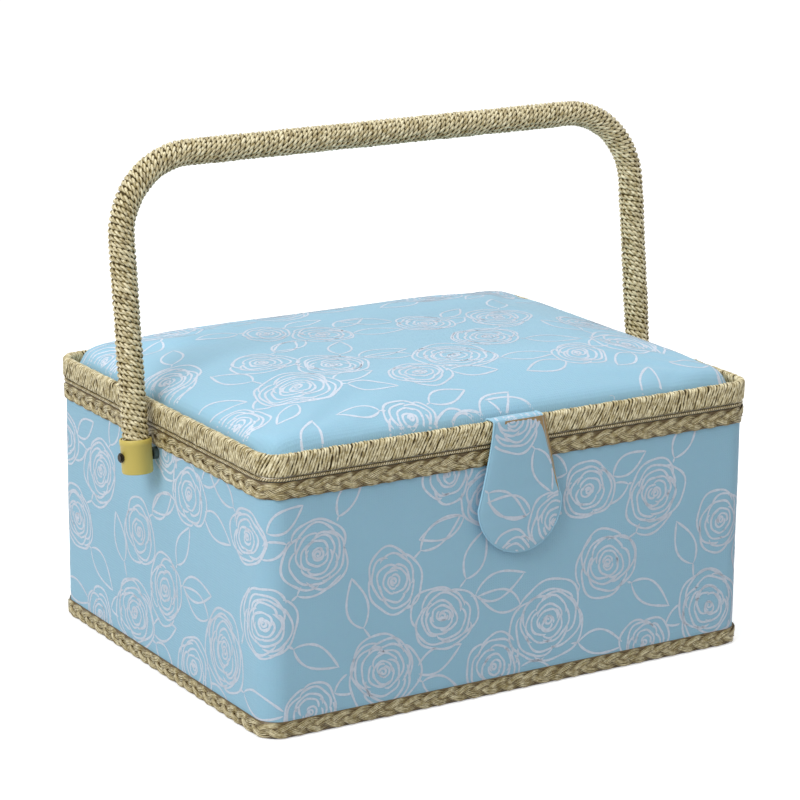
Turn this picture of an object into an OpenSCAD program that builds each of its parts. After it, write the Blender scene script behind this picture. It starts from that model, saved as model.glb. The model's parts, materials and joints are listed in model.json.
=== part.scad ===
// Fabric-covered sewing carrier: a board box with one hinged, padded lid and a wound swing handle.
// Origin at the centre of the base, X across the width, -Y at the front, +Z up. Millimetres.

/* [Body] */
// Width of the box over its fabric cover
body_w = 300; // [240:1:380]
// Depth of the box over its fabric cover
body_d = 236; // [190:1:300]
// Height of the box walls above the table
wall_top = 135.6; // [115:0.1:170]
// Corner radius of the box in plan
corner_r = 12; // [10:0.5:20]
// Thickness of the printed cotton on the walls
cover_t = 1; // [0.6:0.1:1.6]
// Thickness of the wall boards
wall_t = 3.5; // [2.5:0.1:5]
// Thickness of the satin lining
lining_t = 0.8; // [0.5:0.1:1.2]
// Thickness of the cloth under the base
base_cloth_t = 1; // [0.6:0.1:1.6]
// Thickness of the base board
base_t = 4; // [3:0.1:6]
// Thickness of the padded floor
floor_pad_t = 4; // [2:0.1:8]

/* [Braids] */
// Height of each flat braid
braid_h = 8.8; // [6:0.1:11]
// How far a braid stands out from the cover
braid_t = 1.6; // [1:0.1:2]
// Gap between the table and the lower braid
braid_lift = 0.3; // [0.2:0.1:1]

/* [Lid] */
// How far the lid rim stands out past the box on each side
rim_over = 2; // [1.9:0.1:3]
// Height of the wound rim
rim_h = 12.2; // [10:0.1:16]
// Width of the wound rim, seen from above
rim_w = 5; // [4.8:0.1:8]
// Thickness of the layer of twine round the rim
rim_twine_t = 1.2; // [1:0.1:1.5]
// Diameter of the piping cord under the rim
piping_d = 2; // [1.6:0.1:2]
// Thickness of the lid board
lid_board_t = 3; // [2:0.1:4]
// Thickness of the lining under the lid
lid_lining_t = 2; // [1:0.1:3]
// Thickness of the printed cotton on the lid
lid_cloth_t = 1; // [0.6:0.1:1.6]
// How far below the rim's top the padding meets the rim
crease_drop = 2.4; // [2:0.1:4.5]
// Height of the padding's crown above its edge
crown_h = 16.5; // [10:0.5:24]

/* [Tab] */
// Width of the closing tab where it leaves the rim
tab_top_w = 31.5; // [24:0.5:40]
// Radius of the tab's round end
tab_end_r = 26.2; // [22:0.1:32]
// Length of the tab from its fold to its end
tab_len = 72.5; // [62:0.5:85]
// Thickness of the padded tab
tab_t = 3.6; // [2.5:0.1:4]
// Thickness of the stiffener inside the tab
tab_stiffener_t = 1.2; // [0.8:0.1:1.2]
// Distance of the press stud below the centre of the tab's end
stud_drop = 8; // [0:0.5:12]

/* [Handle] */
// Height of the handle pivots above the table
pivot_z = 122.6; // [100:0.1:123]
// Distance from a pivot to the centre of the grip
handle_len = 155.5; // [140:0.5:220]
// Radius of the handle's bends, to the tube's centre
bend_r = 42; // [25:1:60]
// Diameter of the handle over its twine
handle_d = 14.7; // [11:0.1:16]
// Thickness of the layer of twine on the handle
handle_twine_t = 1.6; // [1:0.1:2.2]
// Wall of the steel tube
tube_wall = 1; // [0.6:0.1:1.5]
// Lean of the handle towards the back, in degrees
handle_lean = 7; // [0:0.5:12]
// Diameter of the plastic caps
cap_d = 17.2; // [15:0.1:18]
// Height of the plastic caps
cap_h = 18.5; // [16:0.5:24]
// Diameter of the pivot screws
pivot_d = 4; // [3:0.1:5]
// Gap between a cap and the box
cap_gap = 3.3; // [3.3:0.1:5]

/* [Hinges] */
// Distance of each hinge from the middle of the back
hinge_x = 80; // [60:1:100]
// Length of each hinge
hinge_len = 32; // [24:1:40]
// Thickness of the hinge leaves
leaf_t = 1; // [0.8:0.1:1.2]
// Height of the leaf on the box
leaf_drop = 22; // [18:0.5:28]
// Height of the leaf on the lid
leaf_rise = 9.5; // [8:0.1:10]
// Diameter of the hinge barrel
barrel_d = 3.8; // [3.4:0.1:4]
// Diameter of the hinge pin
pin_d = 1.8; // [1.5:0.1:2]
// Diameter of the hinge screws
screw_d = 2; // [1.6:0.1:2.4]
// Length of the hinge screws under the head
screw_len = 5.4; // [4:0.1:5.6]

/* [Tray] */
// Height of the lift-out tray
tray_h = 30; // [20:1:36]
// Wall thickness of the tray
tray_t = 1.8; // [1.4:0.1:2.6]
// Height of the top of the tray above the table
tray_top = 114; // [100:0.5:114]
// Gap between the tray and the lining at the sides
tray_gap = 6; // [5:0.5:10]
// Gap between the tray and the lining at the front and back
tray_end_gap = 1.5; // [1:0.5:6]
// Width of each tray rail
rail_w = 10; // [8:0.5:14]
// Height of each tray rail
rail_h = 6; // [4:0.5:10]

/* [Fits] */
// Gap between the closed lid and the box
seam_gap = 0.3; // [0.2:0.05:0.6]
// Radial running clearance of screws and pins
run_gap = 0.05; // [0.02:0.01:0.1]
// Gap between moving pieces
move_gap = 0.4; // [0.3:0.05:0.8]
// Gap between pieces of one assembly
seat_gap = 0.1; // [0.05:0.05:0.2]

/* [Hidden] */
$fn = 64;

half_w = body_w / 2;
half_d = body_d / 2;
cloth_blue = "#86AEC6";

// Box walls, from the outside in: cover, board, lining
board_out = cover_t;
board_in = board_out + wall_t;
lining_in = board_in + lining_t;
base_z = base_cloth_t;
floor_z = base_z + base_t;
upper_braid_z = wall_top - braid_lift - braid_h;

// Lid levels, from the seam up
lid_z = wall_top + seam_gap;
rim_z = lid_z + lid_lining_t;
rim_top = rim_z + rim_h;
rim_corner = 2.2;
braid_rounding = 0.7;
rim_in = rim_w - rim_over;
board_top = rim_z + lid_board_t;
crease_z = rim_top - crease_drop;
piping_out = 1.3;

// Hinge axis, behind the rim and level with the seam
barrel_r = barrel_d / 2;
leaf_sink = 0.3;
axis_rise = 0.7;
hinge_y = half_d + max(braid_t, rim_over) + barrel_r - leaf_sink;
hinge_z = lid_z + axis_rise;
knuckle = hinge_len / 4;
leaf_y = half_d + braid_t;
lid_leaf_y = half_d + rim_over;
leaf_top = hinge_z - barrel_r - seam_gap;
lid_leaf_bottom = hinge_z + barrel_r + seam_gap;
screw_step = hinge_len / 2;
screw_head_share = 0.95;
head_r = screw_d * screw_head_share;
head_h = 0.9;
screw_margin = 6;
web_lap = 1;
box_screw_z = leaf_top - leaf_drop + screw_margin;
lid_screw_z = lid_leaf_bottom + leaf_rise / 2;
hole_reach = 12;

// Handle, in a frame whose origin is the pivot
handle_r = handle_d / 2;
tube_r = handle_r - handle_twine_t;
cap_r = cap_d / 2;
leg_x = half_w + cap_gap + cap_r;
pivot_r = pivot_d / 2;
socket_floor = 1.6;
socket_z = pivot_r + socket_floor;
spacer_t = 1.3;
cap_lip_h = 3;
cap_lip_t = 0.3;
thread_end = 0.5;
leg_top = handle_len - bend_r;
pivot_head_r = 2.6;
pivot_head_h = 1.3;
pivot_dome_share = 0.72;
washer_t = 1;
washer_r = 5.5;
nut_t = 3;
nut_r = 4.05;
lining_x = half_w - lining_in;

// Tab, hanging in front of the rim from a barrel at its fold
tab_y = -half_d - rim_over - move_gap - tab_t / 2;
tab_z = rim_top + seat_gap;
tab_end_z = tab_z - tab_len + tab_end_r;
fold_t = 2;
stud_z = tab_end_z - stud_drop;
stud_disc_t = 0.7;
stud_disc_r = 6;
stud_post_r = 1.9;
socket_t = 1.3;
socket_r = 5.5;
tab_back_y = tab_y + tab_t / 2;

// Tray levels and compartments
tray_hw = half_w - lining_in - tray_gap;
tray_hd = half_d - lining_in - tray_end_gap;
tray_r = 8;
tray_z = tray_top - tray_h;
tray_pocket_r = 4;
rail_setback = 30;
rail_len = body_d - 2 * rail_setback;
column_n = 3;

// Roundness of the lid's crown: in plan, at its edge and across its middle
crown_softening = 1.5;
crown_corner = corner_r - rim_in + crown_softening;
edge_power = 14;
crown_power = 6;

// Counts for the lid's crown: rings, points along half a corner, a long side and a short side
crown_rings = 9;
arc_steps = 8;
long_steps = 7;
short_steps = 6;

// Rounded rectangle in plan
module round_rect(hw, hd, r) {
    square([2 * hw, 2 * (hd - r)], center = true);
    square([2 * (hw - r), 2 * hd], center = true);
    for (sx = [-1, 1], sy = [-1, 1]) translate([sx * (hw - r), sy * (hd - r)]) circle(r);
}

// Plate that follows the box in plan, drawn in from the outside of the cover
module plate(inset, z, h) {
    translate([0, 0, z])
        linear_extrude(h) round_rect(half_w - inset, half_d - inset, corner_r - inset);
}

// Sweeps a section round the box: its x runs outwards from the cover, its y runs up
module around_box() {
    for (turn = [0, 180]) {
        rotate([0, 0, turn]) translate([corner_r - half_w, half_d, 0])
            rotate([90, 0, 90]) linear_extrude(body_w - 2 * corner_r) children();
        rotate([0, 0, turn]) translate([half_w, half_d - corner_r, 0])
            rotate([90, 0, 0]) linear_extrude(body_d - 2 * corner_r) children();
        rotate([0, 0, turn]) translate([half_w - corner_r, half_d - corner_r, 0])
            rotate_extrude(angle = 90) translate([corner_r, 0]) children();
        rotate([0, 0, turn]) translate([corner_r - half_w, half_d - corner_r, 0])
            rotate([0, 0, 90]) rotate_extrude(angle = 90) translate([corner_r, 0]) children();
    }
}

// Rounded section, from its lower inner corner
module soft_section(w, h, r) {
    translate([w / 2, h / 2]) round_rect(w / 2, h / 2, r);
}

// Rod along X, centred on a height and a depth
module rod_x(r, x0, x1, y, z) {
    translate([x0, y, z]) rotate([0, 90, 0]) cylinder(r = r, h = x1 - x0);
}

// Rod along Y
module rod_y(r, y0, y1, x, z) {
    translate([x, y1, z]) rotate([90, 0, 0]) cylinder(r = r, h = y1 - y0);
}

// Holes for the handle's pivot screws, right through both side walls
module pivot_holes() {
    rod_x(pivot_r + run_gap, -half_w - hole_reach, half_w + hole_reach, 0, pivot_z);
}

// Holes for the hinge screws, at one height in the back wall or the rim
module screw_holes(z) {
    for (side = [-1, 1], step = [-0.5, 0.5]) {
        x = side * hinge_x + step * screw_step;
        rod_y(screw_d / 2 + run_gap, half_d - hole_reach, half_d + hole_reach, x, z);
    }
}

// Hole for the press stud in the front wall
module stud_hole() {
    rod_y(stud_post_r + run_gap, -half_d - hole_reach, hole_reach - half_d, 0, stud_z);
}

// Flat wall board between two corners
module wall_board(len) {
    translate([-len / 2, 0, base_z]) cube([len, wall_t, wall_top - base_z]);
}

module base_cover() {
    color("#3E4A57") plate(0, 0, base_cloth_t);
}

module base_board() {
    color("#B09468") plate(board_in, base_z, base_t);
}

module floor_pad() {
    color("#E9E2CF") plate(lining_in + seat_gap, floor_z, floor_pad_t);
}

module front_board() {
    color("#B09468") difference() {
        translate([0, board_out - half_d, 0]) wall_board(body_w - 2 * corner_r);
        stud_hole();
    }
}

module back_board() {
    color("#B09468") difference() {
        translate([0, half_d - board_in, 0]) wall_board(body_w - 2 * corner_r);
        screw_holes(box_screw_z);
    }
}

module side_board(side) {
    color("#B09468") difference() {
        translate([side * (half_w - (board_out + board_in) / 2), 0, 0])
            rotate([0, 0, 90]) translate([0, -wall_t / 2, 0]) wall_board(body_d - 2 * corner_r);
        pivot_holes();
    }
}

module left_board() {
    side_board(-1);
}

module right_board() {
    side_board(1);
}

module corner_boards() {
    color("#B09468")
        for (turn = [0, 180], flip = [0, 1]) rotate([0, 0, turn]) mirror([flip, 0, 0])
            translate([half_w - corner_r, half_d - corner_r, base_z]) rotate_extrude(angle = 90)
                translate([corner_r - board_in, 0]) square([wall_t, wall_top - base_z]);
}

module body_cover() {
    color(cloth_blue) difference() {
        around_box() translate([-cover_t, base_z]) square([cover_t, wall_top - base_z]);
        pivot_holes();
        screw_holes(box_screw_z);
        stud_hole();
    }
}

module wall_lining() {
    color("#E9E2CF") difference() {
        around_box() translate([-lining_in, floor_z]) square([lining_t, wall_top - floor_z]);
        pivot_holes();
    }
}

// Flat braid with its outer edges rounded
module braid(z) {
    color("#B5A878")
        around_box() translate([0, z]) intersection() {
            translate([-braid_t, 0]) soft_section(2 * braid_t, braid_h, braid_t * braid_rounding);
            square([braid_t, braid_h]);
        }
}

module upper_braid() {
    braid(upper_braid_z);
}

module lower_braid() {
    braid(braid_lift);
}

module tray_rail(side) {
    x = side * (half_w - lining_in - rail_w / 2);
    color("#D8BE8E") translate([x, 0, tray_z - rail_h / 2])
        cube([rail_w, rail_len, rail_h], center = true);
}

module left_tray_rail() {
    tray_rail(-1);
}

module right_tray_rail() {
    tray_rail(1);
}

// Barrel pieces of one leaf: even places belong to the box, odd ones to the lid
module knuckles(first) {
    for (i = [first:2:3]) rod_x(barrel_r, (i - 2) * knuckle + seam_gap / 2,
        (i - 1) * knuckle - seam_gap / 2, hinge_y, hinge_z);
}

// Webs that join a leaf to its own barrel pieces
module webs(first, y, z0, z1) {
    for (i = [first:2:3]) translate([(i - 2) * knuckle + seam_gap / 2, y, z0])
        cube([knuckle - seam_gap, leaf_t, z1 - z0]);
}

module hinge_box_leaves() {
    color("#C9A552") difference() {
        for (side = [-1, 1]) translate([side * hinge_x, 0, 0]) {
            translate([-hinge_len / 2, leaf_y, leaf_top - leaf_drop])
                cube([hinge_len, leaf_t, leaf_drop]);
            knuckles(0);
            webs(0, leaf_y, leaf_top - web_lap, hinge_z);
        }
        rod_x(pin_d / 2 + run_gap, -half_w, half_w, hinge_y, hinge_z);
        screw_holes(box_screw_z);
    }
}

module hinge_pins() {
    color("#D8C08A") for (side = [-1, 1])
        rod_x(pin_d / 2, side * hinge_x - hinge_len / 2, side * hinge_x + hinge_len / 2,
            hinge_y, hinge_z);
}

// Round-headed wood screws of the hinges
module hinge_screws(face_y, z) {
    color("#D8C08A") for (side = [-1, 1], step = [-0.5, 0.5]) {
        x = side * hinge_x + step * screw_step;
        rod_y(screw_d / 2, face_y - screw_len, face_y + head_h, x, z);
        rod_y(head_r, face_y, face_y + head_h, x, z);
    }
}

module hinge_box_screws() {
    hinge_screws(leaf_y + leaf_t, box_screw_z);
}

// Copies its children at the right side and, turned half round, at the left
module both_sides() {
    for (turn = [0, 180]) translate([0, 0, pivot_z]) rotate([0, 0, turn]) children();
}

module pivot_screws() {
    head_x = leg_x + cap_r + seam_gap;
    color("#C9A552") both_sides() {
        rod_x(pivot_r, lining_x - washer_t - nut_t - thread_end, head_x + pivot_head_h / 2, 0, 0);
        rod_x(pivot_head_r, head_x, head_x + pivot_head_h / 2, 0, 0);
        rod_x(pivot_head_r * pivot_dome_share, head_x, head_x + pivot_head_h, 0, 0);
    }
}

module pivot_spacers() {
    color("#41524F") both_sides() difference() {
        rod_x(pivot_r + spacer_t, half_w, leg_x - cap_r - seam_gap, 0, 0);
        rod_x(pivot_r + run_gap, lining_x, leg_x, 0, 0);
    }
}

module pivot_washers() {
    color("#B8BCC0") both_sides() difference() {
        rod_x(washer_r, lining_x - washer_t, lining_x, 0, 0);
        rod_x(pivot_r + run_gap, lining_x - hole_reach, half_w, 0, 0);
    }
}

module pivot_nuts() {
    color("#B8BCC0") both_sides() difference() {
        translate([lining_x - washer_t - nut_t, 0, 0]) rotate([0, 90, 0])
            cylinder(r = nut_r, h = nut_t, $fn = 6);
        rod_x(pivot_r + run_gap, lining_x - hole_reach, half_w, 0, 0);
    }
}

// Lower half of the press fastener, riveted through the front wall
module press_stud() {
    color("#B8BCC0") {
        rod_y(stud_disc_r, -half_d - stud_disc_t, -half_d, 0, stud_z);
        rod_y(stud_post_r, tab_back_y + seat_gap, -half_d + board_in, 0, stud_z);
    }
}

module lid_board() {
    color("#B09468") plate(rim_in + seat_gap, rim_z, lid_board_t);
}

// The rim's section, drawn in on every side
module rim_section(inset) {
    translate([inset - rim_in, rim_z + inset])
        soft_section(rim_w - 2 * inset, rim_h - 2 * inset, rim_corner - inset);
}

module rim_frame() {
    color("#D8BE8E") difference() {
        around_box() rim_section(rim_twine_t);
        screw_holes(lid_screw_z);
    }
}

module rim_twine() {
    color("#B5A878") difference() {
        around_box() difference() {
            rim_section(0);
            rim_section(rim_twine_t);
        }
        screw_holes(lid_screw_z);
    }
}

module rim_piping() {
    color("#C8BC90")
        around_box() translate([piping_out - piping_d / 2, lid_z + piping_d / 2]) circle(piping_d / 2);
}

module lid_lining() {
    color("#E9E2CF") plate(piping_d - piping_out + seat_gap, lid_z, lid_lining_t - seat_gap);
}

// Points of a rounded rectangle at one height, the same count at every size
function corner_arc(cx, cy, r, start, z) =
    [for (i = [0:arc_steps]) let (a = start + 90 * i / arc_steps) [cx + r * cos(a), cy + r * sin(a), z]];
function side_points(a, b, steps) = [for (i = [1:steps - 1]) a + (b - a) * i / steps];
function outline(hw, hd, r, z) =
    let (x = hw - r, y = hd - r) concat(
        corner_arc(x, y, r, 0, z), side_points([x, hd, z], [-x, hd, z], long_steps),
        corner_arc(-x, y, r, 90, z), side_points([-hw, y, z], [-hw, -y, z], short_steps),
        corner_arc(-x, -y, r, 180, z), side_points([-x, -hd, z], [x, -hd, z], long_steps),
        corner_arc(x, -y, r, 270, z), side_points([hw, -y, z], [hw, y, z], short_steps));
ring_n = 4 * (arc_steps + 1) + 2 * (long_steps - 1) + 2 * (short_steps - 1);

// Padding's height above its edge, at a point of the ring of size k of a surface hw by hd
function crown(p, k, hw, hd) = crown_h * sqrt(max(0, (1 - pow(k, edge_power))
    * (1 - pow(abs(p.x / hw), crown_power)) * (1 - pow(abs(p.y / hd), crown_power))));
function ring_size(i) = cos(90 * i / crown_rings);

// Crowned surface: an upright band behind the rim, then rings up to one middle point
function dome(inset, drop) =
    let (hw = half_w - rim_in - inset, hd = half_d - rim_in - inset, r = crown_corner - inset)
    concat(
        outline(hw, hd, r, board_top + seat_gap),
        [for (i = [0:crown_rings - 1]) let (k = ring_size(i))
            for (p = outline(hw * k, hd * k, r * k, crease_z - drop)) p + [0, 0, crown(p, k, hw, hd)]],
        [[0, 0, crease_z + crown_h - drop]]);

// Triangles of that surface, seen from outside, starting at a point number
function band(a, b, j) = let (n = (j + 1) % ring_n) [[a + j, b + n, a + n], [a + j, b + j, b + n]];
function dome_faces(start) =
    let (top = start + (crown_rings + 1) * ring_n)
    concat(
        [for (i = [0:crown_rings - 1], j = [0:ring_n - 1])
            each band(start + i * ring_n, start + (i + 1) * ring_n, j)],
        [for (j = [0:ring_n - 1]) [top - ring_n + j, top, top - ring_n + (j + 1) % ring_n]]);
function flipped(faces) = [for (f = faces) [f[2], f[1], f[0]]];

module lid_foam() {
    surface_points = dome(lid_cloth_t + 2 * seat_gap, lid_cloth_t + 2 * seat_gap);
    base_middle = len(surface_points);
    color("#F2EFE6") polyhedron(
        points = concat(surface_points, [[0, 0, board_top + seat_gap]]),
        faces = concat(
            dome_faces(0),
            [for (j = [0:ring_n - 1]) [base_middle, j, (j + 1) % ring_n]]));
}

module lid_cover() {
    outside = dome(seat_gap, 0);
    inside = dome(lid_cloth_t + seat_gap, lid_cloth_t);
    color(cloth_blue) polyhedron(
        points = concat(outside, inside),
        faces = concat(
            dome_faces(0), flipped(dome_faces(len(outside))),
            [for (j = [0:ring_n - 1]) each band(len(outside), 0, j)]));
}

// Strip of the tab that lies on the rim, between the padding and the fold
module tab_fold() {
    color(cloth_blue)
        translate([-tab_top_w / 2, -half_d - rim_over, rim_top])
            cube([tab_top_w, rim_w - seat_gap, fold_t]);
}

module hinge_lid_leaves() {
    color("#C9A552") difference() {
        for (side = [-1, 1]) translate([side * hinge_x, 0, 0]) {
            translate([-hinge_len / 2, lid_leaf_y, lid_leaf_bottom])
                cube([hinge_len, leaf_t, leaf_rise]);
            knuckles(1);
            webs(1, lid_leaf_y, hinge_z, lid_leaf_bottom + web_lap);
        }
        rod_x(pin_d / 2 + run_gap, -half_w, half_w, hinge_y, hinge_z);
        screw_holes(lid_screw_z);
    }
}

module hinge_lid_screws() {
    hinge_screws(lid_leaf_y + leaf_t, lid_screw_z);
}

// The tab's outline: a round end and sides that run from it, tangent, to the fold
module tab_outline(inset) {
    r = tab_end_r - inset;
    top_w = tab_top_w / 2 - inset;
    top_h = tab_z - tab_end_z;
    touch = atan2(top_h, top_w) - acos(r / norm([top_w, top_h]));
    translate([0, tab_end_z]) {
        circle(r);
        polygon([[-r * cos(touch), r * sin(touch)], [r * cos(touch), r * sin(touch)],
            [top_w, top_h], [-top_w, top_h]]);
    }
}

module tab_sheet(inset, t) {
    translate([0, tab_y + t / 2, 0]) rotate([90, 0, 0]) linear_extrude(t) tab_outline(inset);
}

module tab_stiffener() {
    color("#B09468") tab_sheet(tab_t, tab_stiffener_t);
}

module tab_cover() {
    color(cloth_blue) difference() {
        union() {
            tab_sheet(0, tab_t);
            rod_x(tab_t / 2, -tab_top_w / 2, tab_top_w / 2, tab_y, tab_z);
        }
        tab_sheet(tab_t - seat_gap, tab_stiffener_t + 2 * seat_gap);
    }
}

// Upper half of the press fastener, on the back of the tab
module press_socket() {
    color("#B8BCC0") difference() {
        rod_y(socket_r, tab_back_y, tab_back_y + socket_t, 0, stud_z);
        rod_y(stud_post_r + move_gap, tab_back_y - socket_t, tab_back_y + 2 * socket_t, 0, stud_z);
    }
}

// Places the handle's pieces: pivot at the origin, grip straight above it
module at_pivot() {
    translate([0, 0, pivot_z]) rotate([-handle_lean, 0, 0]) children();
}

// Pipe along the handle, from one height on the right leg to the same on the left
module handle_pipe(r_out, r_in, z0) {
    bend_x = leg_x - bend_r;
    for (flip = [0, 1]) mirror([flip, 0, 0]) {
        translate([leg_x, 0, z0]) linear_extrude(leg_top - z0) difference() {
            circle(r_out);
            circle(r_in);
        }
        translate([bend_x, 0, leg_top]) rotate([90, 0, 0]) rotate_extrude(angle = 90)
            translate([bend_r, 0]) difference() {
                circle(r_out);
                circle(r_in);
            }
    }
    translate([-bend_x, 0, handle_len]) rotate([90, 0, 90]) linear_extrude(2 * bend_x)
        difference() {
            circle(r_out);
            circle(r_in);
        }
}

module handle_tube() {
    color("#8E9296") at_pivot() handle_pipe(tube_r, tube_r - tube_wall, socket_z);
}

module handle_twine() {
    color("#B5A878") at_pivot() handle_pipe(handle_r, tube_r + seat_gap, cap_h / 2 + seat_gap);
}

// Plastic cap: a lip at its top, a socket for the tube and a cross bore for the pivot screw
module cap(side) {
    color("#C4B35E") at_pivot() translate([side * leg_x, 0, 0]) difference() {
        union() {
            translate([0, 0, -cap_h / 2]) cylinder(r = cap_r - cap_lip_t, h = cap_h);
            translate([0, 0, cap_h / 2 - cap_lip_h]) cylinder(r = cap_r, h = cap_lip_h);
        }
        translate([0, 0, socket_z]) cylinder(r = tube_r + seat_gap, h = cap_h);
        rod_x(pivot_r + run_gap, -cap_d, cap_d, 0, 0);
    }
}

module left_cap() {
    cap(-1);
}

module right_cap() {
    cap(1);
}

// One compartment of the tray, cut from above
module pocket(x0, x1, y0, y1) {
    translate([(x0 + x1) / 2, (y0 + y1) / 2, tray_z + tray_t]) linear_extrude(tray_h)
        round_rect((x1 - x0) / 2, (y1 - y0) / 2, tray_pocket_r);
}

module tray() {
    inner_hw = tray_hw - tray_t;
    inner_hd = tray_hd - tray_t;
    column = (2 * inner_hw - (column_n - 1) * tray_t) / column_n;
    color("#F4F2EA") difference() {
        translate([0, 0, tray_z]) linear_extrude(tray_h) round_rect(tray_hw, tray_hd, tray_r);
        for (c = [0:column_n - 1], row = [0:c]) {
            x0 = c * (column + tray_t) - inner_hw;
            length = (2 * inner_hd - c * tray_t) / (c + 1);
            y0 = row * (length + tray_t) - inner_hd;
            pocket(x0, x0 + column, y0, y0 + length);
        }
    }
}

base_cover();
base_board();
floor_pad();
front_board();
back_board();
left_board();
right_board();
corner_boards();
body_cover();
wall_lining();
upper_braid();
lower_braid();
left_tray_rail();
right_tray_rail();
hinge_box_leaves();
hinge_pins();
hinge_box_screws();
pivot_screws();
pivot_spacers();
pivot_washers();
pivot_nuts();
press_stud();
lid_board();
rim_frame();
rim_twine();
rim_piping();
lid_foam();
lid_cover();
lid_lining();
tab_fold();
hinge_lid_leaves();
hinge_lid_screws();
tab_stiffener();
tab_cover();
press_socket();
handle_tube();
handle_twine();
left_cap();
right_cap();
tray();
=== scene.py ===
"""Looks of a fabric-covered sewing carrier: printed cotton, wound and braided twine, a padded lid."""
import math

import bmesh
import bpy
import numpy as np
from bpy.props import FloatProperty, FloatVectorProperty, IntProperty, PointerProperty
from mathutils import Matrix, Vector
from mathutils.bvhtree import BVHTree
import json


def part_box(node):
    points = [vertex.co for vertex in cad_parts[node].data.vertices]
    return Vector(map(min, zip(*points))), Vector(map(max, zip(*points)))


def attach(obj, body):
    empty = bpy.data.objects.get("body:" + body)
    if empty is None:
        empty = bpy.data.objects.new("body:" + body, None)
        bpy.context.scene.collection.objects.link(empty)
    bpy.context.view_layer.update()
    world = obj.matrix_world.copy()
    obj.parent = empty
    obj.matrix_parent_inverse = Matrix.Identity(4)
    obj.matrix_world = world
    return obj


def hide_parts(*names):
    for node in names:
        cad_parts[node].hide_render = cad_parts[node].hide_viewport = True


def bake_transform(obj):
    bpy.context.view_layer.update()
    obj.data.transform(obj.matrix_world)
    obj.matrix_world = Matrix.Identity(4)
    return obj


bl_info = {
    "name": "Sewing Carrier",
    "version": (1, 0, 0),
    "blender": (4, 5, 0),
    "location": "View3D > Sidebar > Sewing",
    "description": "Builds the cloth, twine and fittings of a sewing carrier",
    "category": "Add Mesh",
}

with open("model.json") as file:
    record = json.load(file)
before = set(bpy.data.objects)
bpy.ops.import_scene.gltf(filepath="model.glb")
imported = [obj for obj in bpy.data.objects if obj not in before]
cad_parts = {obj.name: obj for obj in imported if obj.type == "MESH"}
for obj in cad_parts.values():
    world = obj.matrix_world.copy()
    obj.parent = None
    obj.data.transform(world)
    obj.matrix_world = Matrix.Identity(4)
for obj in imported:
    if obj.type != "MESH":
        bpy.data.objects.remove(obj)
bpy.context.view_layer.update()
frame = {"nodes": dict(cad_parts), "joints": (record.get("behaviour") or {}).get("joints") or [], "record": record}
MM = 0.001

# Sizes that the frame gives
COVER_LOW, COVER_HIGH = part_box("body_cover")
RIM_LOW, RIM_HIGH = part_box("rim_twine")
HALF_W = COVER_HIGH.x
HALF_D = COVER_HIGH.y
WALL_LOW = COVER_LOW.z
WALL_HIGH = COVER_HIGH.z
RIM_HALF_W = RIM_HIGH.x
RIM_HALF_D = RIM_HIGH.y
JOINTS = {joint["name"]: joint for joint in frame["joints"]}
PIVOT_Z = JOINTS["handle_swing"]["pos_m"][2]
TAB_AXIS = Vector(JOINTS["tab_hinge"]["pos_m"])
CAP_LOW, CAP_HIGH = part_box("right_cap")
LEG_X = (CAP_LOW.x + CAP_HIGH.x) / 2

# Sizes that the construction shares with the looks
CORNER_R = 12 * MM
RIM_CORNER_R = 14 * MM
RIM_W = 5 * MM
RIM_SECTION_R = 2.2 * MM
RIM_TWINE_T = 1.2 * MM
CREASE_DROP = 2.4 * MM
HANDLE_D = 14.7 * MM
HANDLE_LEN = 155.5 * MM
BEND_R = 42 * MM
HANDLE_LEAN = math.radians(7)
CAP_H = 18.5 * MM
CAP_R = 8.6 * MM
PIPING_D = 2 * MM


def linear(colour):
    """An sRGB hex colour as linear red, green and blue."""
    channels = [int(colour[i:i + 2], 16) / 255 for i in (1, 3, 5)]
    return [c / 12.92 if c <= 0.04045 else ((c + 0.055) / 1.055) ** 2.4 for c in channels]


def colour_prop(name, description, colour):
    return FloatVectorProperty(name=name, description=description, subtype="COLOR", size=3,
                               min=0, max=1, default=linear(colour))


def length_prop(name, description, millimetres):
    return FloatProperty(name=name, description=description, unit="LENGTH", default=millimetres * MM)


class ClothSettings(bpy.types.PropertyGroup):
    ground: colour_prop("Ground", "Dyed colour of the cotton", "#96C2D8")
    ink: colour_prop("Ink", "Colour of the printed lines", "#D4DEEC")
    satin: colour_prop("Satin", "Colour of the lining", "#EFE8D6")
    thread: length_prop("Thread pitch", "Spacing of the cotton's threads", 0.7)
    billow: length_prop("Billow", "How far the wall cloth swells and dips", 0.35)


class PrintSettings(bpy.types.PropertyGroup):
    line: length_prop("Line width", "Width of a printed line", 1.5)
    lift: length_prop("Ink height", "Height of the ink over the cloth", 0.07)
    seed: IntProperty(name="Seed", description="Varies the drawing of each rose", default=7)


class TwineSettings(bpy.types.PropertyGroup):
    # The pale colour is also painted on each strand's crest as a painted highlight
    pale: colour_prop("Pale fibre", "Colour of the bright fibres", "#FBF1CB")
    dark: colour_prop("Dark fibre", "Colour of the olive fibres", "#A08E56")
    # Painted shade: the deep colour is painted on the flanks between strands, where little light reaches
    deep: colour_prop("Painted gap shade", "Painted shade on the flanks between strands", "#5A4618")
    handle_pitch: length_prop("Handle pitch", "Spacing of the turns on the handle", 2.9)
    rim_pitch: length_prop("Rim pitch", "Spacing of the turns on the rim", 1.7)
    plait: length_prop("Plait length", "Length of one full plait of a braid", 32)


class FittingSettings(bpy.types.PropertyGroup):
    cap: colour_prop("Caps", "Colour of the moulded caps", "#C9B65C")
    brass: colour_prop("Brass", "Colour of the hinges", "#BBA26C")
    tray: colour_prop("Tray", "Colour of the moulded tray", "#F1EFE6")


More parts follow.
